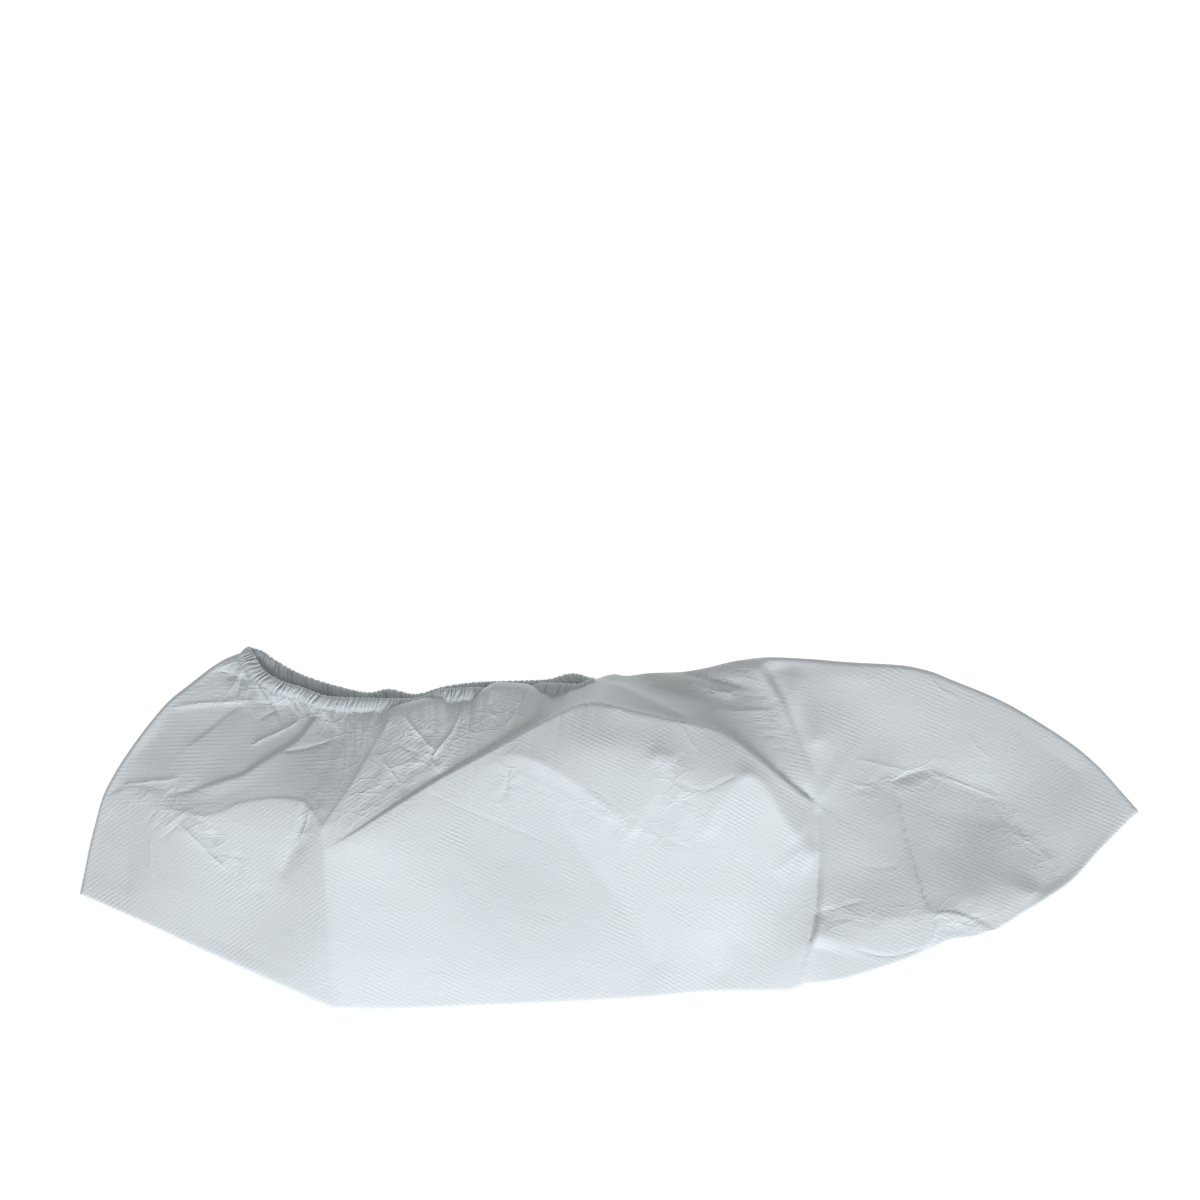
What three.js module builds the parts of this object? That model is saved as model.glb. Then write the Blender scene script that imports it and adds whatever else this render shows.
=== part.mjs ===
// A disposable shoe cover of laminated nonwoven, lying on its side on a table, as a three.js assembly.
//
// Millimetres, +Z up. The cover lies flat: +X runs from the heel to the toe, +Y from the sole seam to the
// ankle opening, and the table is Z = 0. The origin is the middle of its footprint, on the table.
// Two side panels are seamed round the heel, sole, toe and instep. The opening between them is bound by a
// gathered hem, a casing with the elastic inside it. The panel that lies on top is lofted over its folds.

import * as THREE from "three";

// ---------------------------------------------------------------- driving sizes, mm

const LENGTH = 400; // heel corner to toe tip
const WALL = 1; // modelled thickness of the fabric
const GAP = 0.3; // between pieces that touch
const SEAM_TOP = 2 * WALL + GAP; // the upper panel lies on the under panel at the seam
const HEM = { width: 6.4, thick: 3.1, wall: 1, slit: 0.3, clear: 0.7, ribs: 50, ribDepth: 0.3, stationsPerRib: 3 };
const ELASTIC = { width: 3.6, thick: 0.5 };
const HEM_ENDS = { heel: -141, toe: -0.6 }; // x where the panels' seam stops and the hem begins
const PUFF = 0.0022; // how much the cloth between two folds bellies, 1/mm
const LIP = { width: 2.2, endShare: 0.3, taper: 14 }; // a step fold: its breadth, and how it dies away at its ends
const SPACING = { edge: 6, fold: 5, fill: 8, flatFill: 24 }; // of the points that the panels are made on
const PLEATS = { pitch: 6.6, depth: 0.9, reach: 16 }; // gathers that run from the hem into the panel

// Outline of the panels. Each row is a place on the edge, and a smooth curve runs through the rows.
const SOLE_EDGE = [
  { at: "heel_corner", x: -200, y: -26.5 },
  { at: "heel_side", x: -155, y: -45.7 },
  { at: "sole_corner", x: -114, y: -64.5 },
  { at: "sole_start", x: -101, y: -69 },
  { at: "arch", x: -7, y: -65.4 },
  { at: "ball", x: 66, y: -62.2 },
  { at: "ball_front", x: 86, y: -58 },
  { at: "toe_underside", x: 121, y: -46.2 },
  { at: "toe_bend", x: 146, y: -38 },
  { at: "toe_front", x: 180, y: -14.7 },
  { at: "toe_tip", x: 200, y: 5 },
];
const HEEL_EDGE = [
  { at: "heel_corner", x: -200, y: -22.5 },
  { at: "heel_low", x: -196.5, y: -5 },
  { at: "heel_middle", x: -191.5, y: 12.5 },
  { at: "heel_high", x: -181, y: 30 },
  { at: "counter", x: -166, y: 48 },
  { at: "counter_top", x: -149, y: 62 },
  { at: "hem_end", x: HEM_ENDS.heel, y: 65.6 },
];
const INSTEP_EDGE = [
  { at: "hem_end", x: HEM_ENDS.toe, y: 57.2 },
  { at: "instep", x: 34, y: 60.5 },
  { at: "instep_crown", x: 66, y: 65.2 },
  { at: "vamp", x: 110, y: 62 },
  { at: "vamp_front", x: 148, y: 48.8 },
  { at: "toe_top", x: 186, y: 23 },
  { at: "toe_tip", x: 200, y: 8.5 },
];

// Rim of the opening on the panel that lies on top, with the height of the hem's middle, and on the other.
const NEAR_RIM = [
  { x: -134.8, y: 68, z: 6.6 },
  { x: -131, y: 61, z: 8.4 },
  { x: -124.4, y: 56.4, z: 10 },
  { x: -116.6, y: 53.7, z: 10.9 },
  { x: -105, y: 50.4, z: 11.4 },
  { x: -94, y: 49.6, z: 11.6 },
  { x: -76, y: 49.6, z: 11.4 },
  { x: -62, y: 52.6, z: 11.3 },
  { x: -48, y: 53.6, z: 11.2 },
  { x: -34, y: 53.6, z: 10.9 },
  { x: -20, y: 55.6, z: 9.6 },
  { x: -6.4, y: 56.6, z: 6.6 },
];
const FAR_RIM = [
  { x: -134.8, y: 68 },
  { x: -126, y: 64 },
  { x: -104, y: 54.6 },
  { x: -79, y: 52.2 },
  { x: -49, y: 55.6 },
  { x: -14, y: 58.4 },
  { x: -6.4, y: 56.4 },
];

// Folds of the upper panel, a row for each. The cloth is stretched over its line of [x, y, z] places. Where
// the cloth doubles over itself it steps down to the left of the way that the line runs.
const FOLDS = [
  // The tongue that the side makes when it lies down: its edge stands over the cloth by the opening.
  {
    fold: "tongue_back",
    step: 2.8,
    line: [
      [-106.6, -6.8, 16.5], [-97.9, -2.3, 18], [-64.3, 19.3, 17], [-18.5, 44.6, 18.5], [-11, 48, 17.5],
      [-3.4, 48.4, 18],
    ],
  },
  {
    fold: "tongue_front",
    step: 3,
    line: [
      [-3.4, 48.4, 18], [26.8, 41.2, 18.5], [42, 37.8, 16.5], [57.1, 26.8, 16.5], [78.2, 9.8, 7.5],
    ],
  },
  // The flat facets of the side, and the soft knees that run down from them to the sole.
  {
    fold: "side_crest_back",
    step: 0,
    line: [
      [-79, 4, 17.5], [-60, 15, 16], [-39.3, 28, 18], [-28, 27.2, 19.5], [-12.9, 18.5, 19],
      [0.4, 7.2, 17], [16.6, -1, 15],
    ],
  },
  { fold: "side_crest_middle", step: 0, line: [[17.4, 28, 20], [14.4, 23, 19.5], [16.6, -1, 15]] },
  {
    fold: "side_dent",
    step: 0,
    line: [
      [27, 24, 19.5], [30.6, 17, 19], [36, 15.5, 18], [52.6, 21.3, 17.5],
    ],
  },
  {
    fold: "side_crest_front_back",
    step: 0,
    line: [
      [52.6, 21.3, 17.5], [46, 17, 18], [40.4, 10, 17.5], [37, 0, 16],
    ],
  },
  {
    fold: "side_crest_front",
    step: 0,
    line: [
      [52.6, 21.3, 17.5], [58, 18.4, 16], [64, 7, 13.5], [77, -9, 8],
    ],
  },
  {
    fold: "side_knee_back",
    step: 0,
    line: [
      [-28, 27.2, 19.5], [-20, 6, 15.5], [8, -34, 8], [18, -52, 5],
    ],
  },
  { fold: "side_trough_back", step: 0, line: [[-70, 0, 16], [-52, -22, 12], [-38, -44, 7.5]] },
  { fold: "side_knee_middle", step: 0, line: [[27.6, 5, 16.5], [40, -38, 7.5], [42, -56, 3.5]] },
  { fold: "side_knee_front", step: 0, line: [[77, -9, 8], [66, -22, 8], [62, -40, 6], [62, -54, 4.5]] },
  // The two creases that the cover was folded flat along in its packet.
  {
    fold: "packet_crease_heel",
    step: 0,
    line: [
      [-108.5, 1.5, 16.5], [-106.2, -26.8, 12.5], [-104.8, -62, 4.5],
    ],
  },
  { fold: "packet_crease_toe", step: 3.4, line: [[78.2, 9.8, 8], [78.2, -31.4, 6.5], [75.2, -44.2, 6]] },
  // The heel pocket: its upper edge, and the creases that run down from it.
  {
    fold: "heel_valley",
    step: 0,
    line: [
      [-113.8, 10.6, 15], [-113.6, 4, 15], [-117.4, -5.5, 11.5], [-123.6, -16.5, 8.5],
      [-131.2, -24, 6.5], [-134, -38.2, 4.5],
    ],
  },
  { fold: "heel_edge_back", step: 1.2, line: [[-191.3, 11, 3], [-179.2, 16.3, 4.5], [-168.6, 11.7, 6.5]] },
  {
    fold: "heel_edge_front",
    step: 1.6,
    line: [
      [-169.7, 8.7, 6.5], [-152.7, 5.3, 10], [-133.8, 11.3, 12.5], [-118.7, 11.7, 14.5],
      [-113.8, 10.6, 15.5], [-108.7, 1.1, 16],
    ],
  },
  {
    fold: "heel_crease",
    step: 0,
    line: [
      [-161, 3.5, 8.5], [-157.6, -2.3, 9], [-144, -15.5, 7.5], [-131.2, -24, 6.5],
    ],
  },
  // Tucks that the elastic pulls up behind the ankle.
  { fold: "collar_roll", step: 1.2, line: [[-116.8, 46.4, 6.5], [-141, 47.9, 4.5], [-167.8, 45.2, 3]] },
  {
    fold: "counter_tuck",
    step: 2.8,
    line: [
      [-168.6, 11.7, 6.5], [-160.3, 12.9, 7], [-137.6, 20.4, 9.5], [-116.8, 33.6, 9], [-109.2, 43.8, 8],
    ],
  },
  { fold: "counter_crease", step: 1, line: [[-158.4, 31.4, 4.5], [-138.3, 46.9, 5]] },
  { fold: "pocket_floor", step: 0, line: [[-110.5, 4.4, 16], [-98, 33, 11], [-92, 43, 8.5]] },
  // The flap that the elastic pulls up beside the ankle.
  { fold: "ankle_flap", step: 1.4, line: [[-108.5, 0.4, 16], [-97.9, 15.5, 17], [-79.8, 45.5, 11.5]] },
  { fold: "ankle_flap_crease", step: 0, line: [[-77.5, 44.2, 12], [-65.4, 30, 15.5], [-63.4, 22, 15.5]] },
  { fold: "ankle_flap_wing", step: 0, line: [[-65.4, 30, 15.5], [-59.3, 36.3, 14], [-55.6, 46.3, 10]] },
  // The fold over the instep, and the tucks that the elastic pulls up before the ankle.
  {
    fold: "instep_tuck",
    step: 1.8,
    line: [
      [-4.6, 55.9, 6.5], [4.2, 54.8, 8], [11.7, 51.8, 10.5], [26.8, 44.2, 14.5], [30, 41.4, 16.5],
    ],
  },
  { fold: "instep_valley", step: 0, line: [[15.5, 52.4, 7.5], [26.8, 49.9, 9], [49.5, 48.8, 9.5]] },
  { fold: "instep_pleat", step: 1.2, line: [[25.3, 58, 5], [42, 54.3, 8.5], [56, 52, 9]] },
  {
    fold: "instep_ridge",
    step: 2.8,
    line: [
      [56.3, 62.4, 5], [59.3, 56.3, 8], [66.9, 42, 9.5], [74.5, 23.1, 10.5], [78.2, 9.8, 8],
    ],
  },
  // The toe: its dent, with a ridge round it.
  { fold: "vamp", step: 0, line: [[96, 54, 3.5], [100, 36, 3.5], [98, 20, 3.5]] },
  {
    fold: "toe_crown",
    step: 0,
    line: [
      [84, 57.6, 3], [110, 56, 3], [132.7, 49.4, 3], [155.4, 37, 3], [176, 22.6, 3.5],
    ],
  },
  { fold: "toe_cap", step: 0, line: [[186, 2, 4], [176, 22.6, 3.5]] },
  {
    fold: "toe_dent_top",
    step: 0,
    line: [
      [93, 17.4, 4], [97.5, 15.9, 3.5], [106.2, 17.4, 3.5], [120.6, 22.3, 3.5], [147.8, 11.7, 3.5],
    ],
  },
  { fold: "toe_dent_front", step: 0, line: [[147.8, 11.7, 3.5], [151.6, 2.6, 3.5], [172, -19.4, 3]] },
  { fold: "toe_dent_back", step: 0.8, line: [[108.5, 15.5, 3.5], [111.9, -2.3, 3.5], [120.6, -31.4, 6]] },
  { fold: "toe_dent_floor", step: 0, line: [[124, -6, 4], [144, -18, 6], [160, -24, 4.5]] },
  {
    fold: "toe_pleat",
    step: 1,
    line: [
      [145.2, -38, 3], [136.5, -33.3, 7.5], [129, -30.8, 7], [120.6, -31.4, 6],
    ],
  },
  { fold: "toe_welt", step: 0, line: [[78.2, -31.4, 6], [88, -35, 5.5], [120.6, -31.4, 6]] },
];

// ---------------------------------------------------------------- curves

// A smooth curve through the rows, one column against another, that never swings past a row.
function curveThrough(rows, from, to) {
  const slope = rows.slice(1).map((r, i) => (r[to] - rows[i][to]) / (r[from] - rows[i][from]));
  const tangent = rows.map((_, i) => {
    const before = slope[i - 1] ?? slope[i];
    const after = slope[i] ?? slope[i - 1];
    return before * after <= 0 ? 0 : (2 * before * after) / (before + after);
  });
  return (at) => {
    const value = Math.min(Math.max(at, rows[0][from]), rows[rows.length - 1][from]);
    let i = 0;
    while (i < rows.length - 2 && value > rows[i + 1][from]) i += 1;
    const span = rows[i + 1][from] - rows[i][from];
    const t = (value - rows[i][from]) / span;
    const hermite = [2 * t ** 3 - 3 * t ** 2 + 1, t ** 3 - 2 * t ** 2 + t, 3 * t ** 2 - 2 * t ** 3, t ** 3 - t ** 2];
    return (
      hermite[0] * rows[i][to] +
      hermite[1] * span * tangent[i] +
      hermite[2] * rows[i + 1][to] +
      hermite[3] * span * tangent[i + 1]
    );
  };
}

const soleEdge = curveThrough(SOLE_EDGE, "x", "y");
const heelEdge = curveThrough(HEEL_EDGE, "x", "y");
const instepEdge = curveThrough(INSTEP_EDGE, "x", "y");
const nearRim = curveThrough(NEAR_RIM, "x", "y");
const nearRimHeight = curveThrough(NEAR_RIM, "x", "z");
const farRim = curveThrough(FAR_RIM, "x", "y");

// Where a panel ends under a rim: the hem's width below it, measured square to the rim.
function underRim(rim, x) {
  const slope = (rim(x + 1) - rim(x - 1)) / 2;
  return rim(x) - (HEM.width / 2) - (HEM.width / 2 + HEM.clear) * Math.hypot(1, slope);
}

// ---------------------------------------------------------------- the panels

// Walks from one x to another in even steps of about a size, both ends included.
function stepsBetween(from, to, size) {
  const count = Math.max(1, Math.round(Math.abs(to - from) / size));
  return Array.from({ length: count + 1 }, (_, k) => from + ((to - from) * k) / count);
}

// The edge of a panel, counter-clockwise: sole, toe, instep, opening, heel. Each point has its share of the
// way from the seam to the rim of the opening: 0 on the seam, 1 along the rim, and between on the way up to it.
function panelEdge(rim, spacing) {
  const half = LENGTH / 2;
  const along = (xs, edge, share) => xs.map((x) => ({ x, y: edge(x), share }));
  const underRimAt = (x) => Math.min(underRim(rim, x), x < -LENGTH / 4 ? heelEdge(x) - 1 : Infinity);
  const sole = along(stepsBetween(-half, half, spacing.edge), soleEdge, 0);
  const instep = along(stepsBetween(half, HEM_ENDS.toe, spacing.edge), instepEdge, 0);
  const under = stepsBetween(HEM_ENDS.toe - 0.4, HEM_ENDS.heel + 0.4, spacing.opening);
  const opening = along(under, underRimAt, 1);
  const heel = along(stepsBetween(HEM_ENDS.heel, -half, spacing.edge), heelEdge, 0);
  const between = (from, to) =>
    [1, 2, 3].map((k) => ({
      x: from.x + ((to.x - from.x) * k) / 4,
      y: from.y + ((to.y - from.y) * k) / 4,
      share: from.share + ((to.share - from.share) * k) / 4,
    }));
  const atToe = between(instep[instep.length - 1], opening[0]);
  const atHeel = between(opening[opening.length - 1], heel[0]);
  const edge = [...sole, ...instep, ...atToe, ...opening, ...atHeel, ...heel];
  return edge.filter((p, i) => Math.hypot(p.x - edge.at(i - 1).x, p.y - edge.at(i - 1).y) > 0.05);
}

// Points along the folds, each with its height; a step adds the same points again on the layer below it.
function foldPoints() {
  const points = [];
  const add = (x, y, z) => {
    if (points.every((p) => Math.hypot(p.x - x, p.y - y) > LIP.width / 2)) points.push({ x, y, z, held: true });
  };
  for (const { line, step } of FOLDS) {
    const places = [];
    line.slice(1).forEach(([x2, y2, z2], i) => {
      const [x1, y1, z1] = line[i];
      for (const t of stepsBetween(0, 1, SPACING.fold / Math.hypot(x2 - x1, y2 - y1)).slice(i ? 1 : 0)) {
        places.push({ x: x1 + (x2 - x1) * t, y: y1 + (y2 - y1) * t, z: z1 + (z2 - z1) * t });
      }
    });
    const first = places[0];
    const last = places[places.length - 1];
    places.forEach((p, i) => {
      const ahead = places[Math.min(i + 1, places.length - 1)];
      const behind = places[Math.max(i - 1, 0)];
      const long = Math.hypot(ahead.x - behind.x, ahead.y - behind.y);
      const left = { x: -(ahead.y - behind.y) / long, y: (ahead.x - behind.x) / long };
      const fromEnds = Math.min(Math.hypot(p.x - first.x, p.y - first.y), Math.hypot(p.x - last.x, p.y - last.y));
      add(p.x, p.y, p.z);
      if (step) {
        const down = step * Math.min(1, LIP.endShare + fromEnds / LIP.taper);
        add(p.x + left.x * LIP.width, p.y + left.y * LIP.width, p.z - down);
      }
    });
  }
  return points;
}

const distanceToEdge = (edge, x, y) => Math.min(...edge.map((p) => Math.hypot(p.x - x, p.y - y)));

function insideEdge(edge, x, y) {
  let inside = false;
  edge.forEach((p, i) => {
    const q = edge.at(i - 1);
    if (p.y > y !== q.y > y && x < p.x + ((y - p.y) * (q.x - p.x)) / (q.y - p.y)) inside = !inside;
  });
  return inside;
}

// Loose points that fill the panel: staggered rows, close together under the hem where the cloth gathers.
function fillPoints(edge, taken, bands) {
  const points = [];
  for (const { pitch, within } of bands) {
    let shift = 0;
    for (let y = -80.3; y < 80; y += pitch * 0.866) {
      shift = pitch / 2 - shift;
      for (let x = -203.1 + shift; x < 203; x += pitch) {
        if (!insideEdge(edge, x, y)) continue;
        const fromHem = distanceToEdge(edge.filter((p) => p.share === 1), x, y);
        if (fromHem > within || distanceToEdge([...edge, ...taken, ...points], x, y) < 0.62 * pitch) continue;
        points.push({ x, y, z: 10 });
      }
    }
  }
  return points;
}

// Joins the points into triangles so that no point lies in the circle round a triangle.
function triangulate(points, edge) {
  const far = 4000;
  const all = [...points, { x: -far, y: -far }, { x: far, y: -far }, { x: 0, y: far }];
  const circled = (ring) => {
    const [a, b, c] = ring.map((k) => all[k]);
    const area = 2 * (a.x * (b.y - c.y) + b.x * (c.y - a.y) + c.x * (a.y - b.y));
    const [sa, sb, sc] = [a, b, c].map((p) => p.x * p.x + p.y * p.y);
    const x = (sa * (b.y - c.y) + sb * (c.y - a.y) + sc * (a.y - b.y)) / area;
    const y = (sa * (c.x - b.x) + sb * (a.x - c.x) + sc * (b.x - a.x)) / area;
    return { ring, x, y, reach: (a.x - x) ** 2 + (a.y - y) ** 2 };
  };
  let triangles = [circled([points.length, points.length + 1, points.length + 2])];
  points.forEach((p, k) => {
    const sides = new Map();
    const kept = [];
    for (const t of triangles) {
      if ((p.x - t.x) ** 2 + (p.y - t.y) ** 2 >= t.reach) {
        kept.push(t);
        continue;
      }
      t.ring.forEach((from, i) => {
        const to = t.ring[(i + 1) % 3];
        if (!sides.delete(`${to},${from}`)) sides.set(`${from},${to}`, [from, to]);
      });
    }
    triangles = [...kept, ...[...sides.values()].map(([from, to]) => circled([from, to, k]))];
  });
  const middle = (ring, axis) => ring.reduce((sum, k) => sum + all[k][axis], 0) / 3;
  return triangles
    .map((t) => t.ring)
    .filter((ring) => ring.every((k) => k < points.length))
    .filter((ring) => insideEdge(edge, middle(ring, "x"), middle(ring, "y")));
}

// Stretches the cloth over the folds: each loose point settles between its neighbours, bellied by PUFF.
function stretchOverFolds(points, triangles) {
  const neighbours = points.map(() => new Map());
  for (const ring of triangles) {
    for (const from of ring) {
      for (const to of ring) {
        if (from === to) continue;
        const apart = Math.hypot(points[from].x - points[to].x, points[from].y - points[to].y);
        neighbours[from].set(to, 1 / apart ** 2);
      }
    }
  }
  for (let round = 0; round < 700; round += 1) {
    points.forEach((p, k) => {
      if (p.held) return;
      let [total, weight] = [0, 0];
      for (const [to, pull] of neighbours[k]) {
        total += pull * points[to].z;
        weight += pull;
      }
      p.z = (total + (PUFF * neighbours[k].size) / 4) / weight;
    });
  }
}

// Gathers: waves along the hem that fan out and die away down the panel.
function gatherUnderHem(points) {
  const middle = (HEM_ENDS.heel + HEM_ENDS.toe) / 2;
  for (const p of points) {
    if (p.x < HEM_ENDS.heel || p.x > HEM_ENDS.toe) continue;
    const down = Math.max(0, underRim(nearRim, p.x) - p.y);
    const fromEnds = Math.min(p.x - HEM_ENDS.heel, HEM_ENDS.toe - p.x);
    const depth = PLEATS.depth * Math.min(1, fromEnds / (2 * PLEATS.pitch));
    const spread = middle + (p.x - middle) / (1 + down / 60);
    p.z += depth * Math.exp(-down / PLEATS.reach) * Math.cos((2 * Math.PI * spread) / PLEATS.pitch);
  }
}

// Closes a sheet of triangles into a solid, with its lower face the wall's thickness away from the upper and
// nowhere under the lowest height.
function sheetSolid(points, triangles, edgeCount, lowest) {
  const square = points.map(() => new THREE.Vector3());
  for (const ring of triangles) {
    const [a, b, c] = ring.map((k) => new THREE.Vector3(points[k].x, points[k].y, points[k].z));
    const normal = b.sub(a).cross(c.sub(a));
    ring.forEach((k) => square[k].add(normal));
  }
  const drops = square.map((n) => WALL * Math.min(n.length() / n.z, 1.8));
  const positions = [
    ...points.flatMap((p) => [p.x, p.y, p.z]),
    ...points.flatMap((p, k) => [p.x, p.y, k < edgeCount ? p.z - WALL : Math.max(p.z - drops[k], lowest)]),
  ];
  const below = points.length;
  const faces = triangles.flatMap(([a, b, c]) => [a, b, c, a + below, c + below, b + below]);
  for (let k = 0; k < edgeCount; k += 1) {
    const next = (k + 1) % edgeCount;
    faces.push(k + below, next + below, next, k + below, next, k);
  }
  return solidGeometry(positions, faces);
}

function upperPanel() {
  const edge = panelEdge(nearRim, { edge: SPACING.edge, opening: PLEATS.pitch / 3 });
  for (const p of edge) {
    p.held = true;
    p.z = SEAM_TOP + (nearRimHeight(p.x) + WALL / 2 - SEAM_TOP) * p.share;
  }
  const folds = foldPoints().filter((p) => insideEdge(edge, p.x, p.y) && distanceToEdge(edge, p.x, p.y) > LIP.width);
  const loose = fillPoints(edge, folds, [
    { pitch: PLEATS.pitch / 3, within: PLEATS.pitch },
    { pitch: PLEATS.pitch / 2, within: 2 * PLEATS.pitch },
    { pitch: SPACING.fill, within: Infinity },
  ]);
  const points = [...edge, ...folds, ...loose];
  const triangles = triangulate(points, edge);
  stretchOverFolds(points, triangles);
  gatherUnderHem(points);
  return sheetSolid(points, triangles, edge.length, SEAM_TOP - WALL);
}

function underPanel() {
  const edge = panelEdge(farRim, { edge: SPACING.edge, opening: SPACING.edge });
  const points = [...edge, ...fillPoints(edge, [], [{ pitch: SPACING.flatFill, within: Infinity }])];
  points.forEach((p) => (p.z = WALL));
  return sheetSolid(points, triangulate(points, edge), edge.length, 0);
}

function solidGeometry(positions, faces) {
  const geometry = new THREE.BufferGeometry();
  geometry.setAttribute("position", new THREE.Float32BufferAttribute(positions, 3));
  geometry.setIndex(faces);
  geometry.computeVertexNormals();
  return geometry;
}

// ---------------------------------------------------------------- the hem and its elastic

// The middle of the hem: along the near rim to the toe end, round it, and back along the far rim.
function hemPath() {
  const below = HEM.width / 2;
  const floor = HEM.thick / 2 + HEM.ribDepth + GAP;
  const points = [];
  const walk = 26;
  const start = NEAR_RIM[0].x;
  const end = NEAR_RIM[NEAR_RIM.length - 1].x;
  for (let k = 0; k <= walk; k += 1) {
    const x = start + ((end - start) * k) / walk;
    points.push(new THREE.Vector3(x, nearRim(x) - below, nearRimHeight(x)));
  }
  const turn = (points[walk].z - floor) / 2;
  points.push(new THREE.Vector3(end + turn, (nearRim(end) + farRim(end)) / 2 - below, floor + turn));
  for (let k = walk; k >= 0; k -= 1) {
    const x = start + ((end - start) * k) / walk;
    points.push(new THREE.Vector3(x, farRim(x) - below, floor));
  }
  points.push(new THREE.Vector3(start - turn, (nearRim(start) + farRim(start)) / 2 - below, floor + turn));
  return new THREE.CatmullRomCurve3(points, true, "centripetal");
}

// Sweeps a section round the hem. A section point has d, towards the panel, and n, out of the opening.
function sweepRound(path, stations, sectionAt) {
  const toPanel = new THREE.Vector3(0, -1, 0);
  const positions = [];
  const faces = [];
  const sides = sectionAt(0).length;
  for (let i = 0; i < stations; i += 1) {
    const centre = path.getPointAt(i / stations);
    const tangent = path.getTangentAt(i / stations);
    const down = toPanel.clone().addScaledVector(tangent, -toPanel.dot(tangent)).normalize();
    const out = new THREE.Vector3().crossVectors(down, tangent);
    for (const { d, n } of sectionAt(i)) {
      positions.push(...centre.clone().addScaledVector(down, d).addScaledVector(out, n).toArray());
    }
    for (let k = 0; k < sides; k += 1) {
      const next = (i + 1) % stations;
      const [a, b] = [i * sides + k, i * sides + ((k + 1) % sides)];
      const [c, e] = [next * sides + ((k + 1) % sides), next * sides + k];
      faces.push(a, c, b, a, e, c);
    }
  }
  return solidGeometry(positions, faces);
}

// The casing is the cloth's edge turned over the elastic: a flat tube with a slit where the edge is sewn down.
function hemCasing() {
  const { width, thick, wall, slit, ribs, ribDepth, stationsPerRib } = HEM;
  const [halfWidth, halfThick, bevel] = [width / 2, thick / 2, 0.8];
  const section = (station) => {
    const rib = ribDepth * Math.cos((2 * Math.PI * station) / stationsPerRib);
    const face = halfThick + rib;
    const rim = halfWidth + rib / 2;
    return [
      { d: halfWidth, n: slit / 2 },
      { d: halfWidth - bevel / 2, n: face },
      { d: bevel - rim, n: face },
      { d: -rim, n: face - bevel },
      { d: -rim, n: bevel - face },
      { d: bevel - rim, n: -face },
      { d: halfWidth - bevel / 2, n: -face },
      { d: halfWidth, n: -slit / 2 },
      { d: halfWidth - wall, n: -slit / 2 },
      { d: halfWidth - wall, n: wall - halfThick },
      { d: wall - halfWidth, n: wall - halfThick },
      { d: wall - halfWidth, n: halfThick - wall },
      { d: halfWidth - wall, n: halfThick - wall },
      { d: halfWidth - wall, n: slit / 2 },
    ];
  };
  return sweepRound(hemPath(), ribs * stationsPerRib, section);
}

function elasticBand() {
  const [halfWidth, halfThick] = [ELASTIC.width / 2, ELASTIC.thick / 2];
  const corners = [
    { d: halfWidth, n: halfThick },
    { d: -halfWidth, n: halfThick },
    { d: -halfWidth, n: -halfThick },
    { d: halfWidth, n: -halfThick },
  ];
  return sweepRound(hemPath(), HEM.ribs * HEM.stationsPerRib, () => corners);
}

// ---------------------------------------------------------------- the assembly

const laminate = new THREE.MeshStandardMaterial({ color: 0xdfe4e6, roughness: 0.55, metalness: 0 });
const laminateInside = new THREE.MeshStandardMaterial({ color: 0xd2d6d4, roughness: 0.7, metalness: 0 });
const gatheredLaminate = new THREE.MeshStandardMaterial({ color: 0xd6dad8, roughness: 0.6, metalness: 0 });
const elasticRubber = new THREE.MeshStandardMaterial({ color: 0xe8e6dc, roughness: 0.8, metalness: 0 });

function piece(name, geometry, material) {
  const mesh = new THREE.Mesh(geometry, material);
  mesh.name = name;
  return mesh;
}

const shoeCover = new THREE.Group();
shoeCover.add(piece("upper_side_panel", upperPanel(), laminate));
shoeCover.add(piece("under_side_panel", underPanel(), laminateInside));
shoeCover.add(piece("hem_casing", hemCasing(), gatheredLaminate));
shoeCover.add(piece("elastic_band", elasticBand(), elasticRubber));

export default shoeCover;
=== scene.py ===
import math

import bmesh
import bpy
import numpy as np
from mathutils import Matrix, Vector


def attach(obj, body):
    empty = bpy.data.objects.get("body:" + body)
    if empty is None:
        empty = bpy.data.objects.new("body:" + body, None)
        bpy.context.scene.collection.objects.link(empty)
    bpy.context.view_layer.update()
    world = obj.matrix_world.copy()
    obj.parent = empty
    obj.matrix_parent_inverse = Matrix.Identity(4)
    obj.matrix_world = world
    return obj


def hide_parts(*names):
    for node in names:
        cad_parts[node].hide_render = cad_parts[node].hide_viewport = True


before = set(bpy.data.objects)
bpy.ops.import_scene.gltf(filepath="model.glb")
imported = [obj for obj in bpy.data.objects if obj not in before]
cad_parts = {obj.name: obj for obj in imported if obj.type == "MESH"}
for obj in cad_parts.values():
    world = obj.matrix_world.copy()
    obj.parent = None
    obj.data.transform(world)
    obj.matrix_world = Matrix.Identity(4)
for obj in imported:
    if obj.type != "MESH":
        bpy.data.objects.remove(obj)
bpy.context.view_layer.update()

# ---------------------------------------------------------------- the under side panel
# The side of the cover that lies on the table: one cut of white polypropylene nonwoven with a
# polyethylene film on it, embossed in fine ribs. It is sewn to its mirror image round the heel, sole,
# toe and instep, with the allowance turned inside, so that only its edge shows.
MM = 0.001
LENGTH = 400.0

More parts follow.
